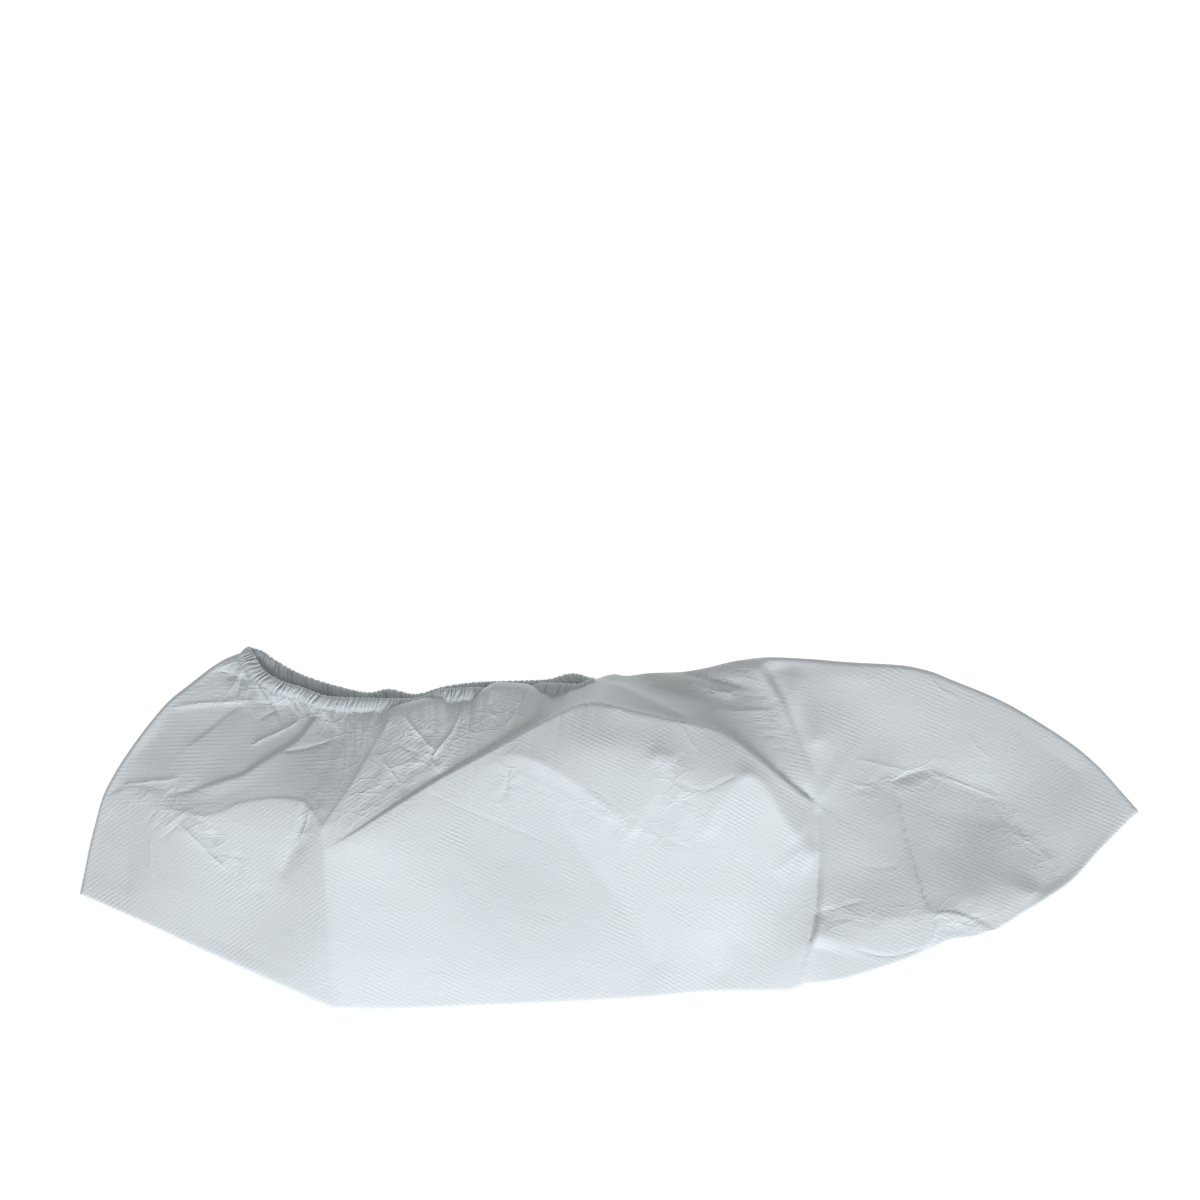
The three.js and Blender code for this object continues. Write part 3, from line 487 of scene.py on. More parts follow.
FOLDS = (  # fold, steps down on its left at its start and end, lean, breadth of the step, places x, y, z
    ("tongue, back", 0.12, 2.1, 0.4, 0.8, (
        (-106.6, -6.8, 16), (-97.9, -2.3, 16.5), (-84.7, 6.4, 16.5), (-64.3, 19.3, 16.5),
        (-48.8, 27.6, 16.5), (-33.6, 36.3, 17), (-18.5, 44.6, 17.5), (-11, 48, 17.5), (-3.4, 48.4, 18))),
    ("tongue, front", 2.1, 1.3, 0.6, 0.8, (
        (-3.4, 48.4, 18), (4.2, 46.5, 18.5), (11.7, 44.6, 18.5), (26.8, 41.2, 18), (34.4, 40.1, 16.5),
        (42, 37.8, 15), (49.5, 33.3, 15), (57.1, 26.8, 14.5), (64.6, 20.4, 11.5), (72.2, 14, 7.5),
        (78.2, 9.8, 4))),
    ("side crest, back", 0, 0, 0, 0, (
        (-79, 4, 16), (-60, 15, 16), (-39.3, 28, 17), (-28, 27.2, 18), (-12.9, 18.5, 17.5),
        (0.4, 7.2, 16.5), (16.6, -1, 15.5))),
    ("side crest, middle", 0, 0, 0, 0, (
        (17.4, 28, 19.5), (14.4, 23, 18.5), (15.5, 11, 17.5), (16.6, -1, 15.5))),
    ("side crest, middle front", 0, 0, 0, 0, (
        (17.4, 28, 19.5), (21.6, 27.6, 19.5), (26.4, 17, 18.5), (27.6, 5, 16.5))),
    ("side dent", 0, 0, 0, 0, (
        (27, 24, 19), (30.6, 17, 18.5), (36, 15.5, 17.5), (46, 19.6, 16.5), (52.6, 21.3, 16.5))),
    ("side crest, front back", 0, 0, 0, 0, (
        (52.6, 21.3, 16.5), (46, 17, 16.5), (40.4, 10, 16.5), (37, 0, 15.5))),
    ("side crest, front", 0, 0, 0, 0, (
        (52.6, 21.3, 16.5), (58, 18.4, 15), (64, 7, 12), (72.2, -4, 8.5), (77, -9, 7))),
    ("side knee, back", 0, 0, 0, 0, (
        (-28, 27.2, 18), (-20, 6, 14.5), (-6, -15, 10.5), (8, -34, 7.5), (18, -52, 3.5))),
    ("side trough, back", 0, 0, 0, 0, ((-70, 0, 15), (-52, -22, 11), (-38, -44, 6.5))),
    ("side knee, middle", 0, 0, 0, 0, ((27.6, 5, 16.5), (34, -14, 12.5), (40, -38, 7.5), (42, -56, 2.5))),
    ("side knee, front", 0, 0, 0, 0, ((77, -9, 7), (66, -22, 6.5), (62, -40, 5), (62, -54, 3))),
    ("packet crease, heel", 0, 0, 0, 0, (
        (-108.5, 1.5, 17), (-107.4, -7.9, 15.5), (-106.2, -26.8, 12.5), (-105.5, -45.7, 8),
        (-104.8, -62, 3))),
    ("packet crease, toe", 2.2, -1.9, 0, 2.2, (
        (56.3, 62.4, 7), (59.3, 56.3, 7), (62.7, 51.4, 6.5), (65, 47.3, 6.5), (66.9, 42, 6.5),
        (69.6, 35.5, 6), (72.2, 29.1, 6), (74.5, 23.1, 6), (76.7, 16.6, 5.5), (78.2, 9.8, 4),
        (79.2, -0.5, 4), (79, -14, 4), (78.2, -31.4, 4), (76.7, -38.2, 4.5), (75.2, -44.2, 5))),
    ("heel valley", 0, 0, 0, 0, (
        (-113.8, 10.6, 14.5), (-113.6, 4, 13), (-117.4, -5.5, 10), (-123.6, -16.5, 8))),
    ("heel edge, back", 0.35, 0.3, 0.2, 1.4, (
        (-191.3, 11, 2), (-186.7, 13.6, 2.5), (-179.2, 16.3, 3.5), (-172.8, 14.7, 4.5),
        (-168.6, 11.7, 5.5))),
    ("heel edge, front", 0.12, 0.35, 0.15, 0.9, (
        (-169.7, 8.7, 5.5), (-164.1, 7.9, 7), (-158.4, 6, 7.5), (-152.7, 5.3, 8.5), (-147, 6.4, 9),
        (-139.5, 10.2, 10), (-133.8, 11.3, 10.5), (-126.3, 12.1, 11.5), (-118.7, 11.7, 13),
        (-113.8, 10.6, 14.5), (-110.2, 5.3, 16), (-108.7, 1.1, 16.5))),
    ("heel crease", 0, 0, 0, 0, (
        (-161, 3.5, 7.5), (-157.6, -2.3, 7.5), (-150.8, -8.7, 7), (-144, -15.5, 6.5), (-137, -21, 6.5),
        (-131.2, -24, 6.5))),
    ("heel shoulder", 0, 0, 0, 0, ((-188, 6, 2), (-181, -8, 2), (-182, -22, 1.5))),
    ("heel middle", 0, 0, 0, 0, ((-169.7, 8.7, 5.5), (-170, -8, 4.5), (-166, -28, 3))),
    ("collar roll", 0.3, 0.15, 0, 1.6, (
        (-116.8, 46.4, 4.5), (-130, 47.6, 4), (-141, 47.9, 4), (-155, 46.9, 4), (-167.8, 45.2, 3))),
    ("collar top", 0, 0, 0, 0, ((-136.5, 56.3, 2.5), (-143.3, 58.6, 3), (-150.1, 60.1, 2.5))),
    ("counter tuck", 0.25, 1.1, 0.3, 1.4, (
        (-168.6, 11.7, 5.5), (-160.3, 12.9, 6), (-154.6, 15.1, 7), (-148.9, 17, 8.5), (-143.3, 18.9, 9),
        (-137.6, 20.4, 9.5), (-133.8, 23.1, 9.5), (-130, 25.7, 9.5), (-122.5, 29.9, 9),
        (-116.8, 33.6, 8.5), (-113, 38.6, 8), (-109.2, 43.8, 7))),
    ("counter tuck, foot", 0, 0, 0, 0, (
        (-156, 10.5, 7), (-146, 12.5, 8.5), (-130, 19, 10), (-116, 27, 10), (-105, 38, 8.5))),
    ("counter crease", 0.4, 0.3, 0.1, 1.2, (
        (-158.4, 31.4, 5.5), (-154.6, 34, 5.5), (-150.8, 36.7, 5.5), (-145.2, 41.2, 5), (-138.3, 46.9, 4))),
    ("pocket floor", 0, 0, 0, 0, (
        (-110.5, 4.4, 16), (-107, 13, 15), (-102.5, 22, 13.5), (-98, 33, 11.5), (-92, 43, 10))),
    ("ankle flap", 0.15, 0.25, 0.2, 1, (
        (-108.5, 0.4, 17), (-102.4, 9.1, 16.5), (-97.9, 15.5, 16), (-93.4, 23.1, 15), (-88.5, 31.8, 13),
        (-83.5, 40.4, 11.5), (-79.8, 45.5, 10.5))),
    ("ankle flap, crease", 0, 0, 0, 0, (
        (-77.5, 44.2, 12), (-70.7, 35.5, 13.5), (-65.4, 30, 14.5), (-63.4, 22, 15.5))),
    ("ankle flap, wing", 0, 0, 0, 0, ((-65.4, 30, 14.5), (-59.3, 36.3, 13), (-55.6, 46.3, 10.5))),
    ("ankle flap, fold", 0, 0, 0, 0, ((-85.4, 27.2, 14.5), (-81, 20.5, 14.5), (-77.5, 15.5, 14.5))),
    ("hem foot, front", 0, 0, 0, 0, ((-47, 40, 13), (-38, 45, 13), (-29, 47.5, 13))),
    ("instep tuck", 0.8, 0.6, 0.4, 1, (
        (-4.6, 55.9, 4), (4.2, 54.8, 7.5), (11.7, 51.8, 10), (19.3, 48, 12.5), (26.8, 44.2, 15),
        (30, 41.4, 17))),
    ("instep valley", 0, 0, 0, 0, ((15.5, 52.4, 5), (26.8, 49.9, 6), (38.2, 48.8, 7.5), (49.5, 48.8, 8))),
    ("instep crest", 0, 0, 0, 0, ((14, 56.2, 2.5), (24, 56.3, 5), (34, 55, 6), (42, 52.4, 7))),
    ("instep pleat", 0.8, 0.3, 0.2, 1, (
        (25.3, 58, 4), (34.4, 56.6, 5.5), (42, 54.3, 6.5), (49.5, 52.8, 7), (56, 52, 7))),
    ("instep roll", 0, 0, 0, 0, ((38, 59.6, 5), (48, 59.4, 6), (57.5, 60, 7))),
    ("vamp facet", 0, 0, 0, 0, ((73.5, 61, 2.5), (75.5, 48.8, 4), (78.5, 33, 6.5))),
    ("vamp", 0, 0, 0, 0, ((96, 54, 2.5), (100, 36, 2.5), (98, 20, 3))),
    ("toe crown", 0, 0, 0, 0, (
        (84, 57.6, 3), (110, 56, 2.5), (132.7, 49.4, 2.5), (155.4, 37, 2.5), (176, 22.6, 2))),
    ("toe cap", 0, 0, 0, 0, ((186, 2, 3.5), (182, 12, 3), (176, 22.6, 2))),
    ("toe dent, top", 0, 0, 0, 0, (
        (93, 17.4, 4), (97.5, 15.9, 3), (106.2, 17.4, 2.5), (111.9, 20, 2), (120.6, 22.3, 2),
        (132.7, 17.4, 2.5), (147.8, 11.7, 3))),
    ("toe dent, front", 0, 0, 0, 0, (
        (147.8, 11.7, 3), (151.6, 2.6, 3.5), (159.1, -5, 5), (168.6, -15, 6), (172, -19.4, 6))),
    ("toe dent, back", 0.5, 0.6, 0.2, 0.8, (
        (108.5, 15.5, 2.5), (109.6, 9.1, 3.5), (111.9, -2.3, 4.5), (114.5, -11.7, 6), (116.8, -19.3, 7.5),
        (120.6, -31.4, 9))),
    ("toe dent, floor", 0, 0, 0, 0, ((124, -6, 5), (144, -18, 7.5), (160, -24, 9.5))),
    ("toe pleat", 0.6, 0.5, 0.2, 0.8, (
        (120.6, -31.4, 9), (129, -30.8, 9), (136.5, -33.3, 9.5), (145.2, -38, 9))),
    ("toe welt", 0, 0, 0, 0, ((78.2, -31.4, 4), (88, -35, 6), (104, -34, 7.5), (120.6, -31.4, 9))),
    ("toe knuckle", 0, 0, 0, 0, ((120.6, -31.4, 9), (119.4, -43.8, 8))),
)
CREASES = (  # crease, height (below nothing for a valley), breadth, places x, y along its line
    ("side, above dent", 0.36, 0.56, ((27.6, 39.7), (29.1, 36.3), (31.4, 32.1), (33.3, 29.9))),
    ("side, beside dent", -0.32, 0.62, ((23.8, 28), (25.3, 23.1), (26.5, 20.4))),
    ("side, dent rim", -0.24, 0.5, (
        (28, 18.5), (30.6, 15.9), (34.4, 14.7), (39, 16.3), (43.9, 18.9), (48.8, 20.8))),
    ("side, long", -0.09, 0.5, ((-69.6, 14.7), (-52.5, 7.2), (-33.6, -0.4), (-24.2, -4.9))),
    ("side, long, upper", 0.07, 0.56, ((-44, 26), (-30, 19.5), (-10, 9.5), (4, 3))),
    ("side, crest mark", -0.24, 0.56, ((-41.2, 22.3), (-38.5, 20), (-37.5, 14.5))),
    ("side, low", -0.09, 0.62, ((-8, 17), (4, 8), (14, 1), (24, -4.5), (33, -8))),
    ("side, edge of the back lobe", 0.45, 5, (
        (-41, 27.4), (-36, 28.6), (-29, 27.2), (-12.9, 18.5), (0.4, 7.2), (12, 0))),
    ("side, top of the middle lobe", 0.4, 4, ((15.6, 27), (18, 29.4), (22, 29), (25.6, 25.4))),
    ("side, edge of the front lobe", 0.4, 4, ((48, 20.6), (52.6, 21.3), (58, 18.4), (64, 7), (72.2, -4))),
    ("side, edge of the front facet", 0.3, 3, ((62, -17), (68, -11.5), (74.6, -6.2))),
    ("ankle flap", 0.64, 0.68, ((-77.5, 44.2), (-74.5, 39.7), (-70.7, 35.5), (-67.7, 31.8), (-65.4, 29.9))),
    ("ankle flap, wing", 0.48, 0.56, (
        (-55.6, 46.5), (-57.1, 41.2), (-59.3, 36.3), (-62, 33.3), (-64.6, 30.6), (-66.5, 27.2),
        (-65.4, 24.2), (-63.1, 21.5))),
    ("ankle flap, lower", 0.36, 0.56, ((-85.4, 27.2), (-82.8, 23.4), (-80.5, 19.7), (-77.5, 16.3))),
    ("ankle flap, crumple", -0.28, 0.56, ((-79.5, 33), (-75, 29.5), (-69, 28.8))),
    ("ankle flap, crumple below", 0.24, 0.56, ((-79, 24.5), (-74, 26), (-69.5, 24.8))),
    ("side front", 0.32, 0.5, ((-46.9, 46.1), (-44.2, 43.8), (-40.4, 41.6))),
    ("side front, second", 0.32, 0.5, ((-34.4, 46.5), (-37.4, 41.2), (-39.3, 38.2))),
    ("heel brow", 0.4, 0.74, ((-184.5, 15.5), (-181, 17.8), (-175.4, 17.8), (-170.5, 18.5), (-162.2, 19.3))),
    ("heel crumple", -0.12, 0.56, ((-169.7, 8.7), (-173.5, 4.2), (-176, 0))),
    ("heel crumple, second", -0.14, 0.56, ((-165.5, 7.6), (-169.5, 3), (-172.4, -1))),
    ("heel crumple, third", -0.18, 0.62, ((-158.4, 5.3), (-164, 0.4), (-169.7, -4.2))),
    ("heel crumple, ridge", 0.2, 0.68, ((-157, 8.6), (-163, 4.6), (-168, 0.4))),
    ("heel line", 0.2, 0.5, ((-173.5, -2.3), (-173.1, -9.8), (-173.5, -12.9), (-171.6, -19.3))),
    ("heel ridge", 0.42, 0.7, (
        (-161, 1.5), (-157.6, -2.3), (-154.6, -4.9), (-150.8, -8.7), (-147, -12.5), (-144, -15.5))),
    ("heel corner", 0.4, 0.74, ((-114.1, 10.4), (-113, 6.4), (-114.2, 1.5), (-116.4, -4.2))),
    ("collar gather", 0.25, 0.7, ((-139, 65), (-143, 62.6), (-148, 60.8))),
    ("collar gather, second", -0.2, 0.6, ((-138.6, 63.4), (-142, 59), (-146, 55.4))),
    ("collar gather, third", 0.3, 0.7, ((-138, 61.5), (-141, 55.6), (-144, 51))),
    ("collar gather, fourth", -0.2, 0.6, ((-137.4, 60), (-139.4, 54.6), (-140.6, 49.6))),
    ("collar gather, fifth", 0.25, 0.7, ((-135, 57.6), (-136.6, 53), (-137.2, 48.8))),
    ("collar top", -0.56, 0.68, ((-150.1, 60.1), (-143.3, 58.6), (-136.5, 56.3))),
    ("collar", 0.4, 0.68, ((-166, 46), (-155, 47.6), (-144, 48.2), (-134, 48.9))),
    ("counter, top", -0.4, 0.56, ((-135.7, 46.9), (-130, 47.6), (-124.4, 46.9), (-119.1, 46.5))),
    ("counter, short", -0.36, 0.56, ((-132.7, 41.2), (-128.9, 43.5), (-124.4, 45.4))),
    ("counter, brow", 0.48, 0.81, ((-135.7, 31.8), (-128.1, 35.2), (-120.6, 38.9), (-115.7, 42))),
    ("pocket, top", -0.48, 0.62, ((-123.6, 29.1), (-116.8, 30.2), (-109.2, 31.8), (-102.4, 34.4))),
    ("pocket, pleat", 0.28, 0.56, ((-99.5, 44), (-98.5, 32), (-99.5, 20))),
    ("pocket, second pleat", -0.28, 0.56, ((-96.5, 44), (-95.9, 36), (-96.5, 27))),
    ("pocket, third pleat", 0.24, 0.56, ((-93, 43), (-92, 36), (-93.5, 28))),
    ("instep, light", 0.8, 2.2, ((11.7, 57.1), (22, 55.6), (34.4, 53), (41, 51.4), (47.6, 49.9))),
    ("instep, short", 0.24, 0.5, ((27.6, 55.6), (30, 52.6), (31.4, 49.2))),
    ("instep, pleat under the edge", -0.7, 1.4, ((19, 60.4), (34, 57.8), (50.7, 54))),
    ("instep, pleat", 0.7, 1.3, ((27.6, 56.2), (37, 53.8), (48.4, 50.2))),
    ("instep, tuck foot", -0.3, 1.6, ((-2, 56.8), (12, 55), (26, 51.5), (36, 49))),
    ("instep, low pleat", 0.5, 1.2, ((36, 46), (48, 44.6), (60, 45.4))),
    ("instep, wrinkle", -0.3, 0.43, ((35, 63), (44, 62.4), (52, 62.6))),
    ("instep, second wrinkle", -0.3, 0.43, ((33, 60.6), (42, 60), (50, 60.4), (55, 59.6))),
    ("instep, third wrinkle", 0.2, 0.43, ((46, 57.6), (52, 57), (57.5, 56))),
    ("instep, fourth wrinkle", -0.24, 0.43, ((40, 47.6), (48, 46.4), (56, 46), (62, 46.6))),
    ("instep, fifth wrinkle", 0.2, 0.43, ((50, 44.8), (58, 44.6), (64, 45.4))),
    ("instep, sixth wrinkle", 0.24, 0.43, ((52, 40.4), (59, 41), (65, 40))),
    ("instep, seventh wrinkle", -0.16, 0.5, ((56, 35), (62, 35.4), (68, 33.6))),
    ("instep, eighth wrinkle", 0.14, 0.5, ((44, 43.4), (52, 42.6), (60, 43), (66, 42))),
    ("instep, ninth wrinkle", -0.16, 0.5, ((38, 50), (46, 50.8), (55, 50.2), (62, 50.6))),
    ("instep, tenth wrinkle", -0.2, 0.5, ((58, 48.8), (63, 48), (66.5, 48.6))),
    ("instep, eleventh wrinkle", 0.16, 0.5, ((54, 38.4), (61, 37.6), (67, 38))),
    ("instep, twelfth wrinkle", -0.14, 0.5, ((60, 30.6), (66, 31.4), (70.5, 29.8))),
    ("packet crease at the toe", -0.5, 0.5, (
        (78.6, 9), (79.4, -0.5), (79.2, -14), (78.4, -31.4), (76.9, -38.2), (75.4, -44.2))),
    ("toe dent, back", -0.4, 0.5, (
        (108.6, 15), (109.7, 9.1), (112, -2.3), (114.6, -11.7), (116.9, -19.3), (120.6, -31))),
    ("toe dent, rim back", -0.32, 0.5, ((106.2, 17.4), (111.9, 20), (117.6, 21.9), (120.6, 22.3))),
    ("toe dent, lip", 0.24, 0.5, ((91, 18), (94.5, 16.4), (98, 15.9), (101.5, 16.6))),
    ("toe dent, rim", 0.28, 0.62, ((120.6, 22.3), (125.1, 20), (132.7, 17.4), (140.2, 14.7), (147.8, 11.7))),
    ("toe dent, rim front", 0.16, 0.62, (
        (148.2, 10.2), (151.6, 2.6), (155.4, -2.3), (159.1, -4.9), (166, -11), (171, -17))),
    ("toe, short", 0.2, 0.5, ((136.5, 36.3), (138.3, 31.8), (141.4, 29.1), (142.9, 26.1))),
    ("toe, top", 0.24, 0.62, ((120.6, 58.6), (125.1, 52.5), (132.7, 48.8))),
    ("toe, brow", 0.16, 0.62, ((92, 27), (102, 24.6), (112, 22.6))),
    ("toe, level", -0.12, 0.5, ((94.9, -13.6), (102.4, -14.7), (110, -13.2))),
    ("toe foot", -0.2, 0.62, ((78.2, -31.4), (87.3, -29.1), (95.6, -26.8))),
    ("toe foot, second", -0.14, 0.56, ((80, -36.3), (86.5, -33.6), (92, -34), (99, -36.8))),
    ("toe foot, low", -0.32, 0.56, ((93, -45), (98.7, -46.9), (104.3, -48), (111.9, -46.9), (117.6, -45))),
    ("toe pleat, crumple", 0.32, 0.56, ((122, -33), (123.5, -38), (121.5, -43))),
    ("toe pleat, second crumple", 0.32, 0.56, ((129, -31), (131.5, -35), (136, -38.2))),
)
STEP = {"reach": 14.0, "past": 2, "taper": 8.0}  # how far it is felt, and how it dies away at its ends
STEP_LINE = {"off": 0.4, "depth": 0.03}  # the sharp line that is pressed in along a step
CREASE = {"past": 0.5, "taper": 4, "sharp": 2, "crisp": 0.4}  # one less broad than "sharp" is a sharp one
NO_CREASE = 9.0  # a distance at which none is felt
HELD = 3.0  # how hard a fold holds the cloth that is stretched over it
SETTLING = {"start": 9.0, "rounds": 360, "haste": 1.8}
SOFTENING = 5  # rounds
HEM_LAP = {"under": 0.3, "over": 2.6}  # how far below the rim the cloth starts, and its rise over the casing
EDGE_EASE = 8  # how far in from the edge the cloth is free to swell


def eased(line, rounds=2):
    """A line with its corners cut, so that it turns as softly as a fold in cloth."""
    line = np.array(line, float)
    for _ in range(rounds):
        near_start, near_end = 0.75 * line[:-1] + 0.25 * line[1:], 0.25 * line[:-1] + 0.75 * line[1:]
        cut = np.stack([near_start, near_end], axis=1).reshape(-1, line.shape[1])
        line = np.concatenate([line[:1], cut[1:-1], line[-1:]]) if len(line) > 2 else line
    return line


def beside(x, y, line):
    """How far a place is to the left of a line, and how far along the line, with the line's length."""
    best = np.full(x.shape, np.inf)
    left, along, done = np.zeros(x.shape), np.zeros(x.shape), 0.0
    for (x1, y1), (x2, y2) in zip(line[:-1], line[1:]):
        span = math.hypot(x2 - x1, y2 - y1)
        ux, uy = (x2 - x1) / span, (y2 - y1) / span
        t = np.clip((x - x1) * ux + (y - y1) * uy, 0, span)
        far = np.hypot(x - x1 - t * ux, y - y1 - t * uy)
        side = np.where((y - y1) * ux - (x - x1) * uy >= 0, 1.0, -1.0)
        nearer = far < best
        best = np.where(nearer, far, best)
        left = np.where(nearer, far * side, left)
        along = np.where(nearer, done + t, along)
        done += span
    return left, along, done


def fading(along, length, shape):
    """1 along a fold or crease, dying away at both of its ends."""
    start, end = (along + shape["past"]) / shape["taper"], (length - along + shape["past"]) / shape["taper"]
    return smooth(start) * smooth(end)


def step_down(x, y):
    """The height lost beside the folds where the cloth doubles over itself."""
    total = np.zeros(np.shape(x))
    for _, first, last, lean, breadth, line in FOLDS:
        if not first:
            continue
        left, along, length = beside(x, y, eased(line)[:, :2])
        left = left + lean
        step = first + (last - first) * along / length
        beyond = np.clip(left - breadth, 0, None)
        total += step * fading(along, length, STEP) * smooth(left / breadth) * np.exp(-beyond / STEP["reach"])
    return total


def fold_samples(spacing=0.5):
    """Places close together along every fold, with the height of the cloth there before it steps down."""
    x, y, z = [], [], []
    for _, _, _, lean, _, line in FOLDS:
        line = eased(line)
        for (x1, y1, z1), (x2, y2, z2) in zip(line[:-1], line[1:]):
            span = math.hypot(x2 - x1, y2 - y1)
            t = np.linspace(0, 1, max(2, int(span / spacing)))
            x.append(x1 + (x2 - x1) * t + (y2 - y1) / span * lean)
            y.append(y1 + (y2 - y1) * t - (x2 - x1) / span * lean)
            z.append(z1 + (z2 - z1) * t)
    x, y, z = np.concatenate(x), np.concatenate(y), np.concatenate(z)
    return x, y, z + step_down(x, y)


def row_of(y, column, at):
    """Where each place falls among the rows of its own column of the grid."""
    row = np.empty(len(at))
    for c in np.unique(column):
        here = column == c
        row[here] = np.interp(at[here], y[c], np.arange(y.shape[1]))
    return row


def finer(z):
    """The same heights on a grid with twice as many columns and rows."""
    z = np.repeat(np.repeat(z, 2, axis=0), 2, axis=1)[:-1, :-1]
    z[1::2] = (z[:-1:2] + z[2::2]) / 2
    z[:, 1::2] = (z[:, :-1:2] + z[:, 2::2]) / 2
    return z


def held_by(samples, x, y):
    """How hard the folds hold each place of a grid, and the sum of the heights that they hold it at."""
    weight, total = np.zeros(y.shape), np.zeros(y.shape)
    sx, sy, sz = samples
    i = np.interp(sx, x, np.arange(len(x)))
    i0 = np.clip(i.astype(int), 0, len(x) - 2)
    for column, across in ((i0, 1 - (i - i0)), (i0 + 1, i - i0)):
        j = row_of(y, column, sy)
        j0 = np.clip(j.astype(int), 0, y.shape[1] - 2)
        for row, up in ((j0, 1 - (j - j0)), (j0 + 1, j - j0)):
            pull = HELD * across * np.clip(up, 0, 1)
            np.add.at(weight, (column, row), pull)
            np.add.at(total, (column, row), pull * sz)
    return weight, total


def stretched(column_x, rows_y, sole_height, seam_height, samples):
    """Stretches the cloth over its folds, from coarse to fine: each place settles among its neighbours."""
    z = None
    for stride in (8, 4, 2, 1):
        x, y = column_x[::stride], rows_y[::stride, ::stride]
        z = np.full(y.shape, SETTLING["start"]) if z is None else finer(z)
        weight, total = held_by(samples, x, y)
        z[0], z[-1] = SEAM_TOP, SEAM_TOP
        z[:, 0], z[:, -1] = sole_height[::stride], seam_height[::stride]
        inner = (slice(1, -1), slice(1, -1))
        before, after = np.diff(x)[:-1, None], np.diff(x)[1:, None]
        below, above = np.diff(y, axis=1)[1:-1, :-1], np.diff(y, axis=1)[1:-1, 1:]
        to_back, to_front = 2 / (before * (before + after)), 2 / (after * (before + after))
        to_sole, to_top = 2 / (below * (below + above)), 2 / (above * (below + above))
        chequer = np.add.outer(np.arange(len(x)), np.arange(y.shape[1]))[inner] % 2
        whole = to_back + to_front + to_sole + to_top + weight[inner]
        for turn in range(SETTLING["rounds"]):
            settled = to_back * z[:-2, 1:-1] + to_front * z[2:, 1:-1]
            settled = settled + to_sole * z[1:-1, :-2] + to_top * z[1:-1, 2:]
            settled = (settled + PUFF + total[inner]) / whole
            z[inner] += np.where(chequer == turn % 2, SETTLING["haste"] * (settled - z[inner]), 0)
    return z


column_x = cut_columns(UPPER_GRID["columns"], 1.3)
low, high = through(SOLE_EDGE, column_x), top_edge(column_x, [row[:3] for row in CLOTH_AT_HEM])
upper_y = cut_rows(column_x, low, high, UPPER_GRID["rows"])
upper_x = np.repeat(column_x[:, None], upper_y.shape[1], axis=1)
over_hem = column_through(CLOTH_AT_HEM, 3, column_x)
hem_height = column_through(NEAR_RIM, 3, column_x) - HEM_LAP["under"] + HEM_LAP["over"] * over_hem
on_opening = opens(column_x)
seam_height = SEAM_TOP + through(TOP_RISE, column_x)
seam_height += (hem_height - seam_height) * on_opening
sole_height = SEAM_TOP + through(TOE_RISE, column_x)
samples = fold_samples()
inside = samples[1] > np.interp(samples[0], column_x, low) + 1
inside &= samples[1] < np.interp(samples[0], column_x, high) - 1
samples = [part[inside] for part in samples]
upper_z = stretched(column_x, upper_y, sole_height, seam_height, samples)
for _ in range(SOFTENING):
    upper_z[1:-1, 1:-1] = 0.5 * upper_z[1:-1, 1:-1] + 0.125 * (
        upper_z[:-2, 1:-1] + upper_z[2:, 1:-1] + upper_z[1:-1, :-2] + upper_z[1:-1, 2:]
    )
near_edges = smooth((upper_y - low[:, None]) / EDGE_EASE) * smooth((high[:, None] - upper_y) / EDGE_EASE)
